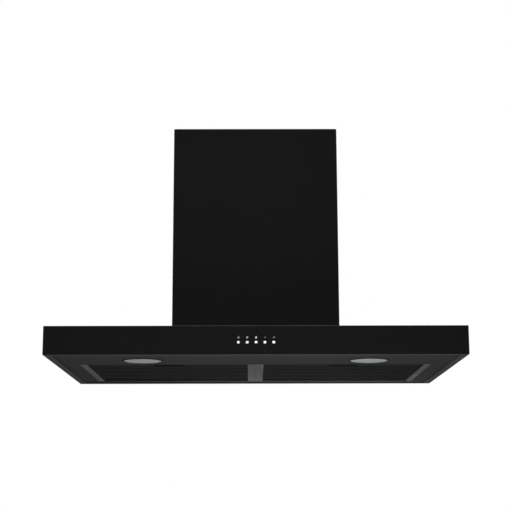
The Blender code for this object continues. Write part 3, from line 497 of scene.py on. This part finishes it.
GLOSS_BLACK = Paint("black_paint", (0.0034, 0.0034, 0.0036), 0.17, specular=0.42)
# A paler black that paints highlights: the bright line along the canopy's lip underside and along its top folds.
PAINTED_HIGHLIGHT_BLACK = Paint("hem_paint", (0.036, 0.036, 0.037), 0.26, specular=0.30)
UNDER_BLACK = Paint("underside_paint", (0.0205, 0.0205, 0.0216), 0.34, specular=0.16)
FILTER_BLACK = Paint("filter_paint", (0.0085, 0.0085, 0.0092), 0.42, specular=0.17)
BEZEL_BLACK = Paint("lamp_bezel", (0.014, 0.014, 0.015), 0.30)
RAIL_ALUMINIUM = Drawn(
    "satin_aluminium", (0.325, 0.325, 0.333), 0.42, lines=(520, 4, 520), contrast=0.26, metallic=0.78
)
BRIGHT_STEEL = Drawn("bright_steel", (0.50, 0.50, 0.52), 0.32)
CAST = Zinc("cast_aluminium", (0.28, 0.28, 0.29), 0.55, crystals=900.0)
ZINC = Zinc("galvanised_steel", (0.30, 0.305, 0.31), 0.50)
BLACK_PLASTIC = Moulded("black_plastic", (0.016, 0.016, 0.017), 0.50)
# The latch's black plastic, made far darker than moulded black: painted shade of the deep finger slot it sits in.
LATCH_BLACK_AND_SLOT_SHADE = Moulded("latch_plastic", (0.0016, 0.0016, 0.0017), 0.55, specular=0.12)
BUTTON_WHITE = Moulded("button_white", (0.56, 0.56, 0.555), 0.30, grain=0.004 * MM)
INDICATOR = Moulded("indicator_lens", (0.40, 0.40, 0.40), 0.25, grain=0.002 * MM, glow=0.02)
LENS_GLASS = Frosted("frosted_lens", (0.305, 0.320, 0.322), 0.45)
BOARD_GREEN = Moulded("circuit_board_green", (0.015, 0.10, 0.045), 0.40)
FINISHES = (
    GLOSS_BLACK,
    PAINTED_HIGHLIGHT_BLACK,
    UNDER_BLACK,
    FILTER_BLACK,
    BEZEL_BLACK,
    RAIL_ALUMINIUM,
    BRIGHT_STEEL,
    CAST,
    ZINC,
    BLACK_PLASTIC,
    LATCH_BLACK_AND_SLOT_SHADE,
    BUTTON_WHITE,
    INDICATOR,
    LENS_GLASS,
    BOARD_GREEN,
)


class Workshop:
    """Holds the frame and the materials, and puts each finished piece where it belongs."""

    def __init__(self, frame: dict) -> None:
        """Makes every material once and finds each node's body."""
        self.frame = frame
        self.materials = {finish.slot: finish.material() for finish in FINISHES}
        bodies = frame["record"]["behaviour"]["bodies"]
        self.body_of = {node: body for body, nodes in bodies.items() for node in nodes}

    def fit(self, piece: bpy.types.Object, finish: object, *nodes: str, rides: str = "") -> bpy.types.Object:
        """Gives a new piece its finish, its body and the nodes that it stands for.

        Args:
            piece: The new object, in place.
            finish: One of FINISHES.
            nodes: The frame's nodes that it replaces.
            rides: A node whose body it follows, where it replaces none.

        Returns:
            The piece.
        """
        piece.data.materials.clear()
        piece.data.materials.append(self.materials[finish.slot])
        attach(piece, self.body_of[nodes[0] if nodes else rides])
        if nodes:
            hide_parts(*nodes)
        LOG.info("%s: %d faces, %s", piece.name, len(piece.data.polygons), finish.slot)
        return piece

    def dress(self) -> None:
        """Gives every node of the frame the finish of its slot, also those that a new piece stands in for."""
        for row in self.frame["record"]["subparts"]:
            mesh = self.frame["nodes"][row["node"]].data
            mesh.materials.clear()
            mesh.materials.append(self.materials[row["material_slot"]])
            LOG.info("%s: frame node, %s", row["node"], row["material_slot"])


# ---------------------------------------------------------------- sub-assemblies


@dataclass
class Canopy:
    """The folded canopy shell and the flat panel that closes its underside."""

    sheet: float = 1.2 * MM
    fold: float = 0.7 * MM
    inner_fold: float = 0.15 * MM
    corner: float = 1.0 * MM
    lip: float = 17 * MM
    hem: float = 0.4 * MM
    inlet: tuple[float, float] = (0.150, 0.095)
    gland_radius: float = 8.0 * MM
    gland_room: float = 0.3 * MM
    fold_slope: float = 0.55
    slope_spread: float = 0.40

    def section(self, half_x: float, half_y: float, top: float) -> np.ndarray:
        """The shell's closed section: over the top, down the wall, under the lip and back inside.

        Args:
            half_x: Half the canopy's width.
            half_y: Half its depth.
            top: Its height.

        Returns:
            (m, 3) rows of half width, half depth and height.
        """
        reach = 30 * MM
        line = np.array(
            [
                (reach, top),
                (0, top),
                (0, 0),
                (self.lip, 0),
                (self.lip, self.sheet),
                (self.sheet, self.sheet),
                (self.sheet, top - self.sheet),
                (reach, top - self.sheet),
            ]
        )
        outer = bend(line[:4], self.fold, closed=False)
        inner = bend(line[4:], self.inner_fold, closed=False, lead=0.1 * MM)
        turn = np.array([(reach / 2, 0), (self.lip, 0), (self.lip, self.sheet), (reach / 2, self.sheet)])
        hem = bend(turn, self.hem, closed=False)
        folded = np.concatenate([outer[:-1], hem[1:-1], inner[1:]])
        rows = np.stack([half_x - folded[:, 0], half_y - folded[:, 0], folded[:, 1]], axis=1)
        hole_x, hole_y = self.inlet
        first = np.array([(hole_x, hole_y, top)])
        last = np.array([(hole_x, hole_y, top - self.sheet)])
        return np.concatenate([first, rows, last])

    def build(self, shop: Workshop, controls: ControlStrip) -> None:
        """Builds the shell, with the holes of the buttons and of the cable gland."""
        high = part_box("canopy_shell")[1]
        rows = self.section(high.x, high.y, high.z)
        skin = Skin("canopy_skin").add(rounded_rings(rows, self.corner), wrap_rows=True)
        shell = skin.build()
        carve(shell, self.gland_cut(controls.holes(), high.z))
        shop.fit(shell, GLOSS_BLACK, "canopy_shell")
        self.hem_finish(shop, shell)

    def hem_finish(self, shop: Workshop, shell: bpy.types.Object) -> None:
        """Paints a highlight on the lip's underside and the top folds with a paler black: faces that look down or
        halfway up.
        """
        mesh = shell.data
        mesh.materials.append(shop.materials[PAINTED_HIGHLIGHT_BLACK.slot])
        count = len(mesh.polygons)
        centre, normal = np.zeros(3 * count), np.zeros(3 * count)
        mesh.polygons.foreach_get("center", centre)
        mesh.polygons.foreach_get("normal", normal)
        under = (centre[2::3] < 0.2 * MM) & (normal[2::3] < -0.95)
        high = centre[2::3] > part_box("canopy_shell")[1].z - self.fold
        folds = high & (np.abs(normal[2::3] - self.fold_slope) < self.slope_spread)
        # Painted highlight: the lip's underside and the top folds take the paler black instead of the gloss.
        mesh.polygons.foreach_set("material_index", (under | folds).astype(np.int32))

    def gland_cut(self, cutter: Skin, top: float) -> Skin:
        """Adds the round hole in the top plate that the cable gland's thread passes through."""
        low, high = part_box("cable_gland")
        middle = (low + high) / 2
        radius = self.gland_radius + self.gland_room
        wall = np.array([(radius, top - 5 * MM), (radius, top + 5 * MM)])
        return cutter.add(np.swapaxes(turned(wall, (middle.x, middle.y, 0), 40), 0, 1))


@dataclass
class ControlStrip:
    """The row of push buttons, the indicator and the small symbols printed above them."""

    names: tuple[str, ...] = ("light", "off", "low", "medium", "high")
    cap_edge: float = 1.0 * MM
    cap_corner: float = 1.6 * MM
    crown: float = 0.25 * MM
    least_corner: float = 0.3 * MM
    flange: float = 1.45 * MM
    flange_sheet: float = 1.2 * MM
    hole_gap: float = 0.3 * MM
    print_height: float = 0.04 * MM
    stroke: float = 0.75 * MM
    symbol_rise: float = 10.3 * MM

    def holes(self) -> Skin:
        """The cutter for the buttons' and the indicator's holes in the front wall."""
        cutter = Skin("button_holes")
        for name in self.names:
            low, high = self.cap_box(name)
            gap = Vector((self.hole_gap, 0, self.hole_gap))
            rows = self.cap_rows(high - low + 2 * gap, self.cap_corner)
            middle = (low + high) / 2
            grid = np.repeat(rows[:1], 2, axis=0)
            grid[:, :, 1] = np.array([[low.y - 4 * MM], [low.y + 6 * MM]])
            cutter.add(grid + [middle.x, 0, middle.z])
        low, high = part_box("indicator_lens")
        middle = (low + high) / 2
        angle = np.linspace(0, 2 * pi, 32, endpoint=False)
        radius = (high.x - low.x) / 2 + self.hole_gap
        ring = np.stack([middle.x + radius * np.cos(angle), middle.z + radius * np.sin(angle)], axis=1)
        return cutter.add(along_y(ring, low.y - 4 * MM, low.y + 5 * MM))

    def cap_box(self, name: str) -> tuple[Vector, Vector]:
        """The visible cap's box: the button's own box less its hidden flange."""
        low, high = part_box(f"button_{name}")
        flange = Vector((self.flange, 0, self.flange))
        return low + flange, high - flange

    def cap_rows(self, size: Vector, corner: float) -> np.ndarray:
        """One ring of a rounded square in the XZ plane, about its middle."""
        ring = rounded_rings(np.array([[size.x / 2, size.z / 2, 0.0]]), corner, 5, 0.1 * MM)
        return ring[..., [0, 2, 1]]

    def build(self, shop: Workshop) -> None:
        """Builds the five caps, the indicator's dome and the symbols."""
        for name in self.names:
            self.button(shop, name)
        low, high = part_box("indicator_lens")
        middle, radius = (low + high) / 2, (high.x - low.x) / 2
        rise = np.linspace(0, pi / 2, 6)
        rows = np.stack([radius * np.cos(rise[:-1]), 0.25 * radius * (1 - np.sin(rise[:-1]))], axis=1)
        profile = np.concatenate([[(radius, high.y - low.y)], rows, [(0.05 * radius, 0.0)]])
        dome = turned(profile, (0, 0, 0), 32)[..., [0, 2, 1]]
        grid = np.swapaxes(dome, 0, 1) + [middle.x, low.y, middle.z]
        shop.fit(Skin("indicator_dome").add(grid).build(), INDICATOR, "indicator_lens")
        self.symbols(shop)

    def button(self, shop: Workshop, name: str) -> None:
        """One cap: rounded squares that shrink by e (1 - cos a) as they come forward by e sin a, up to a low crown."""
        node = f"button_{name}"
        full_low, full_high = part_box(node)
        low, high = self.cap_box(name)
        middle = (low + high) / 2
        edge = self.cap_edge
        angle = np.linspace(0, pi / 2, 5)
        inset = np.concatenate([[0], edge * (1 - np.cos(angle)), [edge + 0.6 * MM, edge + 1.6 * MM]])
        front = np.concatenate([edge * (1 - np.sin(angle)), [-0.5 * self.crown, -self.crown]])
        stem = full_high.y - self.flange_sheet
        depth = np.concatenate([[stem - low.y], self.crown + front])
        rings = []
        for cut in inset:
            size = high - low - Vector((2 * cut, 0, 2 * cut))
            rings.append(self.cap_rows(size, max(self.cap_corner - cut, self.least_corner)))
        grid = np.concatenate(rings)
        grid[:, :, 1] = (low.y + depth)[:, None]
        skin = Skin(f"{node}_cap").add(grid + [middle.x, 0, middle.z])
        skin.block((full_low.x, stem, full_low.z), (full_high.x, full_high.y, full_high.z), 0.2 * MM)
        shop.fit(skin.build(), BUTTON_WHITE, node)

    def symbols(self, shop: Workshop) -> None:
        """Prints a small generic mark above each button but the middle one, whose place the indicator takes."""
        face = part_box("canopy_shell")[0].y
        marks = {
            "light": (0.33, [[(-1.9, -1.1), (-0.7, 1.1), (0.7, 1.1), (1.9, -1.1)], [(-0.7, -1.7), (0.7, -1.7)]]),
            "off": (0.40, [[(0, 0.1), (0, 1.9)], self.arc_line(1.55, 125, 415)]),
            "medium": (0.20, [[(-0.8, -1.3), (-0.8, 0.3)], [(0.8, -1.3), (0.8, 1.3)]]),
            "high": (0.25, [[(-1.5, -1.3), (-1.5, -0.2)], [(0, -1.3), (0, 0.5)], [(1.5, -1.3), (1.5, 1.3)]]),
        }
        for name, (grey, lines) in marks.items():
            low, high = self.cap_box(name)
            middle = (low + high) / 2
            centre = Vector((middle.x, face, middle.z + self.symbol_rise))
            skin = Skin(f"symbol_{name}")
            for line in lines:
                skin.add(self.printed(np.array(line) * MM, centre))
            ink = Moulded(f"symbol_ink_{name}", (grey, grey, grey), 0.45, grain=0.001 * MM)
            shop.materials[ink.slot] = ink.material()
            piece = skin.build()
            piece.data.materials.append(shop.materials[ink.slot])
            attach(piece, shop.body_of["canopy_shell"])
            LOG.info("%s: printed mark", piece.name)

    def arc_line(self, radius: float, start: float, end: float) -> list[tuple[float, float]]:
        """Points of an arc between two angles in degrees, in millimetres."""
        return [(radius * cos(radians(a)), radius * sin(radians(a))) for a in np.linspace(start, end, 14)]

    def printed(self, line: np.ndarray, centre: Vector) -> np.ndarray:
        """A flat printed stroke: the line offset by half a stroke to each side, just in front of the wall."""
        step = np.gradient(line, axis=0)
        step /= np.linalg.norm(step, axis=1, keepdims=True)
        normal = np.stack([-step[:, 1], step[:, 0]], axis=1) * self.stroke / 2
        front, back = -self.print_height, 0.02 * MM
        corners = ((1, front), (-1, front), (-1, back), (1, back))
        rings = []
        for sign, depth in corners:
            flat = line + sign * normal
            rings.append(np.stack([flat[:, 0], np.full(len(line), depth), flat[:, 1]], axis=1))
        return np.stack(rings, axis=1) + np.asarray(centre)


@dataclass
class Lamp:
    """A round lamp: a thin rolled bezel round a frosted lens, with the can above them."""

    side: Side
    gap: float = 0.3 * MM
    flange: float = 1.0 * MM
    overlap: float = 3.0 * MM
    chamfer: tuple[float, float] = (1.0 * MM, 0.5 * MM)
    roll: float = 0.225 * MM
    ridge: float = 0.10 * MM
    ridges: int = 9

    def build(self, shop: Workshop) -> None:
        """Builds the bezel and the ringed lens."""
        word = self.side.word
        bezel, lens = f"lamp_{word}_bezel", f"lamp_{word}_lens"
        low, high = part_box(bezel)
        lens_low, lens_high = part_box(lens)
        middle = (low + high) / 2
        centre = (middle.x, middle.y, 0.0)
        outer, inner = (high.x - low.x) / 2, (lens_high.x - lens_low.x) / 2 + self.gap
        neck, foot = outer - self.overlap, low.z
        outline = np.array(
            [
                (inner, foot + self.chamfer[1]),
                (inner + self.chamfer[0], foot),
                (outer, foot),
                (outer, foot + self.flange),
                (neck, foot + self.flange),
                (neck, high.z),
                (inner, high.z),
            ]
        )
        profile = bend(outline, self.roll, closed=True, steps=3, lead=0.08 * MM)
        ring = Skin(f"{bezel}_ring").add(turned(profile, centre, 96), wrap_rows=True).build()
        shop.fit(ring, BEZEL_BLACK, bezel)
        shop.fit(self.lens(lens, centre, inner - self.gap, lens_low.z, lens_high.z), LENS_GLASS, lens)

    def lens(self, node: str, centre: Corner, radius: float, low: float, high: float) -> bpy.types.Object:
        """The lens: its underside rises from low by ridge (1 - cos(2 pi n r / R)) / 2 between n rings.

        Args:
            node: The node that it stands for.
            centre: Its middle.
            radius: Its outer radius.
            low: Its lowest height.
            high: Its highest height.

        Returns:
            The new object.
        """
        r = np.linspace(0.01 * radius, 0.97 * radius, 8 * self.ridges)
        wave = low + self.ridge * (1 - np.cos(2 * pi * self.ridges * r / (0.97 * radius))) / 2
        under = np.stack([r, wave], axis=1)
        rim = np.array([(radius, low + 0.4 * MM), (radius, high), (0.01 * radius, high)])
        grid = np.swapaxes(turned(np.concatenate([under, rim]), centre, 96), 0, 1)
        return Skin(f"{node}_glass").add(grid).build()


@dataclass
class BaffleFilter:
    """One grease filter: a frame in two drawn channels, two rows of folded baffles, and a sprung latch."""

    side: Side
    sheet: float = 0.9 * MM
    fold: float = 1.1 * MM
    rail_fold: float = 0.15 * MM
    rail_inner_fold: float = 0.3 * MM
    rail_reach: float = 0.25 * MM
    spring: float = 9.5 * MM
    travel: float = 6 * MM
    shadow_gap: float = 2.2 * MM
    groove: float = 0.35 * MM
    grooves: int = 4
    groove_reach: tuple[float, float] = (0.22, 0.86)
    pitch: float = 30 * MM
    strip: float = 18 * MM
    wing: float = 3.4 * MM
    lower_start: float = 15 * MM
    slot_half: float = 34 * MM
    slot_from: float = 16 * MM
    slot_to: float = 40 * MM
    rim: float = 0.8 * MM
    rim_drop: float = 0.25 * MM
    rim_corner: float = 3.5 * MM
    seam: float = 0.05 * MM
    rear_tab: tuple[float, float, float] = (22 * MM, 2.3 * MM, 4.5 * MM)
    latch_sheet: float = 2 * MM
    tab_half: float = 32.6 * MM
    ribs: int = 12
    spring_gap: float = 0.6 * MM
    spring_place: float = 24 * MM
    coil: float = 1.6 * MM
    wire: float = 0.25 * MM
    turns: int = 7

    def node(self, part: str) -> str:
        """The node name of one of this filter's parts."""
        return f"filter_{self.side.word}_{part}"

    def build(self, shop: Workshop) -> None:
        """Builds every visible piece of the filter."""
        for part in ("inner_rail", "outer_rail"):
            self.rail(shop, part)
        self.frame(shop)
        self.baffles(shop, "lower")
        self.baffles(shop, "upper")
        self.latch(shop)

    def rail(self, shop: Workshop, part: str) -> None:
        """A channel along Y, open towards the filter, with fine grooves drawn into its underside."""
        node = self.node(part)
        low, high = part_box(node)
        closed_right = (part == "outer_rail") == (self.side is Side.RIGHT)
        web, mouth = (high.x, low.x) if closed_right else (low.x, high.x)
        inward = 1 if mouth > web else -1
        web -= inward * self.rail_reach
        width = abs(mouth - web)
        under = np.linspace(*self.groove_reach, self.grooves)[:, None] * width
        notch = np.array([-0.5, 0.0, 0.5]) * 2.2 * self.groove
        dip = np.array([0.0, self.groove, 0.0])
        grooves = np.stack([(under + notch).ravel(), np.tile(dip, self.grooves)], axis=1)
        tall, sheet = high.z - low.z, self.sheet
        outline = np.array([(width, tall), (0, tall), (0, 0), (width, 0)])
        hollow = np.array([(width, sheet), (sheet, sheet), (sheet, tall - sheet), (width, tall - sheet)])
        outside = bend(outline, self.rail_fold, closed=False)
        inside = bend(hollow, self.rail_inner_fold, closed=False, steps=3, lead=0.1 * MM)
        profile = np.concatenate([outside[:-1], grooves, outside[-1:], inside])
        profile = np.stack([web + inward * profile[:, 0], low.z + profile[:, 1]], axis=1)
        skin = Skin(f"{node}_channel").add(along_y(profile, low.y, high.y))
        shop.fit(skin.build(28), RAIL_ALUMINIUM, node)

    def frame(self, shop: Workshop) -> None:
        """The frame: a front land round the finger slot, a rear bar with two tabs, and two side members."""
        node = self.node("frame")
        low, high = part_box(node)
        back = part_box(self.node("inner_rail"))[1].y
        latch_low, latch_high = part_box(self.node("latch"))
        baffle_low, baffle_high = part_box(self.node("lower_baffles"))
        middle, slot_half, seam = (latch_low.x + latch_high.x) / 2, self.slot_half, self.seam
        slot_front, slot_back = low.y + self.slot_from, low.y + self.slot_to
        skin = Skin(f"{node}_pressing")
        lands = (
            ((low.x, low.y), (middle - slot_half, baffle_low.y)),
            ((middle + slot_half, low.y), (high.x, baffle_low.y)),
            ((middle - slot_half - seam, low.y), (middle + slot_half + seam, slot_front)),
            ((middle - slot_half - seam, slot_back), (middle + slot_half + seam, baffle_low.y)),
            ((low.x, baffle_high.y), (high.x, back)),
            ((low.x + self.shadow_gap, baffle_low.y - seam), (baffle_low.x, baffle_high.y + seam)),
            ((baffle_high.x, baffle_low.y - seam), (high.x - self.shadow_gap, baffle_high.y + seam)),
        )
        for (x0, y0), (x1, y1) in lands:
            skin.block((x0, y0, low.z), (x1, y1, high.z), 0.35 * MM)
        tab_half, tab_low, tab_high = self.rear_tab
        for x in ((low.x + middle) / 2, (high.x + middle) / 2):
            root, tip = (x - tab_half, back - 2 * MM, low.z + tab_low), (x + tab_half, high.y, low.z + tab_high)
            skin.block(root, tip, 0.5 * MM)
        shop.fit(skin.build(), FILTER_BLACK, node)
        self.slot_rim(shop, (middle, (slot_front + slot_back) / 2), (slot_half, (slot_back - slot_front) / 2), low.z)

    def slot_rim(self, shop: Workshop, middle: tuple[float, float], half: tuple[float, float], level: float) -> None:
        """A thin rolled rim round the finger slot: a half-round section carried round a rounded rectangle."""
        angle = np.linspace(0, 2 * pi, 9)[:-1]
        out, drop = self.rim + self.rim * np.cos(angle), self.rim_drop * np.sin(angle)
        rows = np.stack([half[0] + out, half[1] + out, level + drop], axis=1)
        grid = rounded_rings(rows, self.rim_corner) + [middle[0], middle[1], 0]
        piece = Skin(self.node("slot_rim")).add(grid, wrap_rows=True).build()
        shop.fit(piece, FILTER_BLACK, rides=self.node("frame"))

    def baffles(self, shop: Workshop, row: str) -> None:
        """A row of troughs folded from sheet, open upwards in the lower row and downwards in the upper one."""
        node = self.node(f"{row}_baffles")
        low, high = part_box(node)
        up = 1 if row == "lower" else -1
        first = low.y + (self.lower_start if row == "lower" else 0)
        half = self.strip / 2
        base = low.z if up > 0 else high.z
        outer = bend(np.array([(-half, self.wing), (-half, 0), (half, 0), (half, self.wing)]), self.fold, False, 3)
        bore, sheet = half - self.sheet, self.sheet
        hollow = np.array([(bore, self.wing), (bore, sheet), (-bore, sheet), (-bore, self.wing)])
        inner = bend(hollow, self.fold - sheet, closed=False, steps=3, lead=0.05 * MM)
        profile = np.concatenate([outer, inner])
        skin = Skin(f"{node}_strips")
        starts = np.arange(first + half, high.y - half, self.pitch)
        for start in starts:
            strip = np.stack([start + profile[:, 0], base + up * profile[:, 1]], axis=1)
            skin.add(along_x(strip, low.x, high.x))
        shop.fit(skin.build(), FILTER_BLACK, node)

    def latch(self, shop: Workshop) -> None:
        """The latch: a slide over the front land, a ribbed finger tab in the slot, and two return springs."""
        node = self.node("latch")
        low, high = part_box(node)
        frame_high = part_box(self.node("frame"))[1]
        middle = (low.x + high.x) / 2
        half, sheet = self.tab_half, self.latch_sheet
        tab_front = high.y - 2 * sheet
        skin = Skin(f"{node}_slide")
        skin.block((low.x, low.y, high.z - sheet), (high.x, high.y, high.z), 0.5 * MM)
        root = (middle + half, tab_front + sheet, high.z - 0.9 * sheet)
        skin.block((middle - half, tab_front, low.z), root, 0.6 * MM)
        for x in np.linspace(middle - half + 5 * MM, middle + half - 5 * MM, self.ribs):
            foot = (x - 0.6 * MM, tab_front - 0.45 * MM, low.z + 0.8 * MM)
            skin.block(foot, (x + 0.6 * MM, tab_front + 0.5 * MM, low.z + 5 * MM), 0.25 * MM)
        # The near-black tab paints the shade inside the finger slot onto the latch.
        shop.fit(skin.build(), LATCH_BLACK_AND_SLOT_SHADE, node)
        springs = Skin(f"{node}_springs")
        front = high.y + self.spring_gap
        for x in (middle - self.spring_place, middle + self.spring_place):
            start = (x, front, frame_high.z + 2.4 * MM)
            springs.add(helix_tube(start, self.spring, self.coil, self.wire, self.turns))
        coils = shop.fit(springs.build(60), BRIGHT_STEEL, rides=self.node("frame"))
        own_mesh(coils)


@dataclass
class Chimney:
    """The two nested sleeves, each folded in a front and a rear half that meet at the sides."""

    sheet: float = 1.0 * MM
    fold: float = 1.5 * MM
    edge: float = 0.25 * MM

    def half(self, shop: Workshop, sleeve: str, end: End) -> None:
        """A U-shaped half: a rounded strip of sheet stood on edge and carried round the two folds."""
        node = f"{sleeve}_chimney_{end.word}"
        low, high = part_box(node)
        seam = high.y if end is End.FRONT else low.y
        far = low.y if end is End.FRONT else high.y
        corners = np.array([(low.x, seam), (low.x, far), (high.x, far), (high.x, seam)])
        path = bend(corners, self.fold, closed=False)
        outline = np.array([(0, low.z), (0, high.z), (-self.sheet, high.z), (-self.sheet, low.z)])
        if end is End.REAR:
            outline[:, 0] *= -1
        profile = bend(outline, self.edge, closed=True, steps=2, lead=0.4 * MM)
        shop.fit(Skin(f"{node}_skin").add(carried(path, -profile * [1, -1])).build(), GLOSS_BLACK, node)

    def build(self, shop: Workshop) -> None:
        """Builds the four halves."""
        for sleeve in ("lower", "upper"):
            for end in End:
                self.half(shop, sleeve, end)


@dataclass(frozen=True)
class SoftBox:
    """A soft rectangular light: where it hangs, its size and power, and whether gloss mirrors it."""

    name: str
    place: Corner
    size: tuple[float, float]
    power: float
    mirrored: bool = True

    def build(self, target: Vector) -> None:
        """Hangs the light so that it faces the target."""
        lamp = bpy.data.lights.new(self.name, "AREA")
        lamp.shape, lamp.size, lamp.size_y, lamp.energy = "RECTANGLE", *self.size, self.power
        holder = bpy.data.objects.new(self.name, lamp)
        bpy.context.scene.collection.objects.link(holder)
        holder.location = self.place
        holder.rotation_euler = (target - holder.location).to_track_quat("-Z", "Y").to_euler()
        holder.visible_camera = False
        holder.visible_glossy = self.mirrored


@dataclass
class Studio:
    """Pale surroundings, soft lights and the camera."""

    floor_drop: float = 3.4
    floor_radius: float = 13.5
    floor_glow: float = 0.86
    floor_grey: float = 0.20
    reach: float = 14.0
    dome_glow: float = 1.0
    sky: float = 0.072
    lens: float = 86.93
    place: Corner = (-0.012, -2.890, -0.328)
    pitch: float = 11.77
    yaw: float = 0.271
    roll: float = 0.14
    target: Corner = (0, 0, 0.15)
    boxes: tuple[SoftBox, ...] = (
        SoftBox("overhead_front", (0, -1.1, 3.2), (4.0, 1.0), 215, mirrored=False),
        SoftBox("overhead_rear", (0.3, 1.7, 3.1), (3.6, 1.1), 110, mirrored=False),
        SoftBox("sheen", (0, 0, 3.5), (4.4, 4.4), 42),
        SoftBox("front_fill", (-0.8, -4.4, 1.9), (3.0, 2.0), 150, mirrored=False),
        SoftBox("rear_fill", (0.8, 4.2, 1.6), (3.0, 2.0), 150, mirrored=False),
        SoftBox("left_fill", (-4.0, 0.6, 1.2), (2.6, 2.0), 90, mirrored=False),
        SoftBox("right_fill", (4.0, 0.4, 1.2), (2.6, 2.0), 110, mirrored=False),
        SoftBox("under", (0.07, -0.66, -0.50), (0.60, 0.5), 7.8, mirrored=False),
        SoftBox("under_rear", (0.07, 0.42, -0.11), (0.66, 0.06), 2.2, mirrored=False),
    )

    def surface(self, name: str, profile: np.ndarray, glow: float, grey: float) -> None:
        """A round backdrop surface that lights nothing and isn't mirrored.

        Args:
            name: The object's name.
            profile: (n, 2) radius and height.
            glow: Its own brightness.
            grey: Its colour under the lights.
        """
        piece = Skin(name).add(np.swapaxes(turned(profile, (0, 0, 0), 96), 0, 1)).build(180)
        nodes = Nodes(f"{name}_white")
        nodes.fixed(Base_Color=(grey, grey, grey, 1), Roughness=0.9, Specular_IOR_Level=0.0)
        nodes.fixed(Emission_Color=(1, 1, 1, 1), Emission_Strength=glow)
        piece.data.materials.append(nodes.material)
        piece.visible_glossy = piece.visible_diffuse = piece.visible_shadow = False

    def backdrop(self) -> None:
        """A pale dome, and a pale floor far below the hanging hood."""
        rise = np.linspace(-pi / 2 + 0.01, pi / 2 - 0.01, 24)
        dome = self.reach * np.stack([np.cos(rise), np.sin(rise)], axis=1)
        self.surface("backdrop", dome, self.dome_glow, 0.0)
        radius, level = self.floor_radius, -self.floor_drop
        edge = np.array([(0.02, level), (radius, level), (radius, level - 0.02), (0.02, level - 0.02)])
        self.surface("floor", edge, self.floor_glow, self.floor_grey)

    def camera(self) -> None:
        """The camera, in front of and a little below the canopy, tipped up."""
        data = bpy.data.cameras.new("camera")
        data.lens, data.sensor_width = self.lens, 36.0
        holder = bpy.data.objects.new("camera", data)
        bpy.context.scene.collection.objects.link(holder)
        aim = Matrix.Rotation(-radians(self.yaw), 4, "Z") @ Matrix.Rotation(pi / 2 + radians(self.pitch), 4, "X")
        aim = aim @ Matrix.Rotation(-radians(self.roll), 4, "Z")
        holder.matrix_world = Matrix.Translation(self.place) @ aim
        bpy.context.scene.camera = holder

    def build(self) -> None:
        """Sets up the whole studio."""
        scene = bpy.context.scene
        scene.view_settings.view_transform = "Standard"
        world = bpy.data.worlds.new("studio")
        world.use_nodes = True
        sky = next(node for node in world.node_tree.nodes if node.type == "BACKGROUND")
        sky.inputs["Color"].default_value = (1, 1, 1, 1)
        sky.inputs["Strength"].default_value = self.sky
        scene.world = world
        self.backdrop()
        for box in self.boxes:
            box.build(Vector(self.target))
        self.camera()


def main() -> None:
    """Builds each sub-assembly in order."""
    logging.basicConfig(level=logging.INFO, format="%(message)s")
    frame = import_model()
    shop = Workshop(frame)
    Studio().build()
    controls = ControlStrip()
    shop.dress()
    Canopy().build(shop, controls)
    controls.build(shop)
    for side in Side:
        Lamp(side).build(shop)
        BaffleFilter(side).build(shop)
    Chimney().build(shop)


if __name__ == "__main__":
    main()
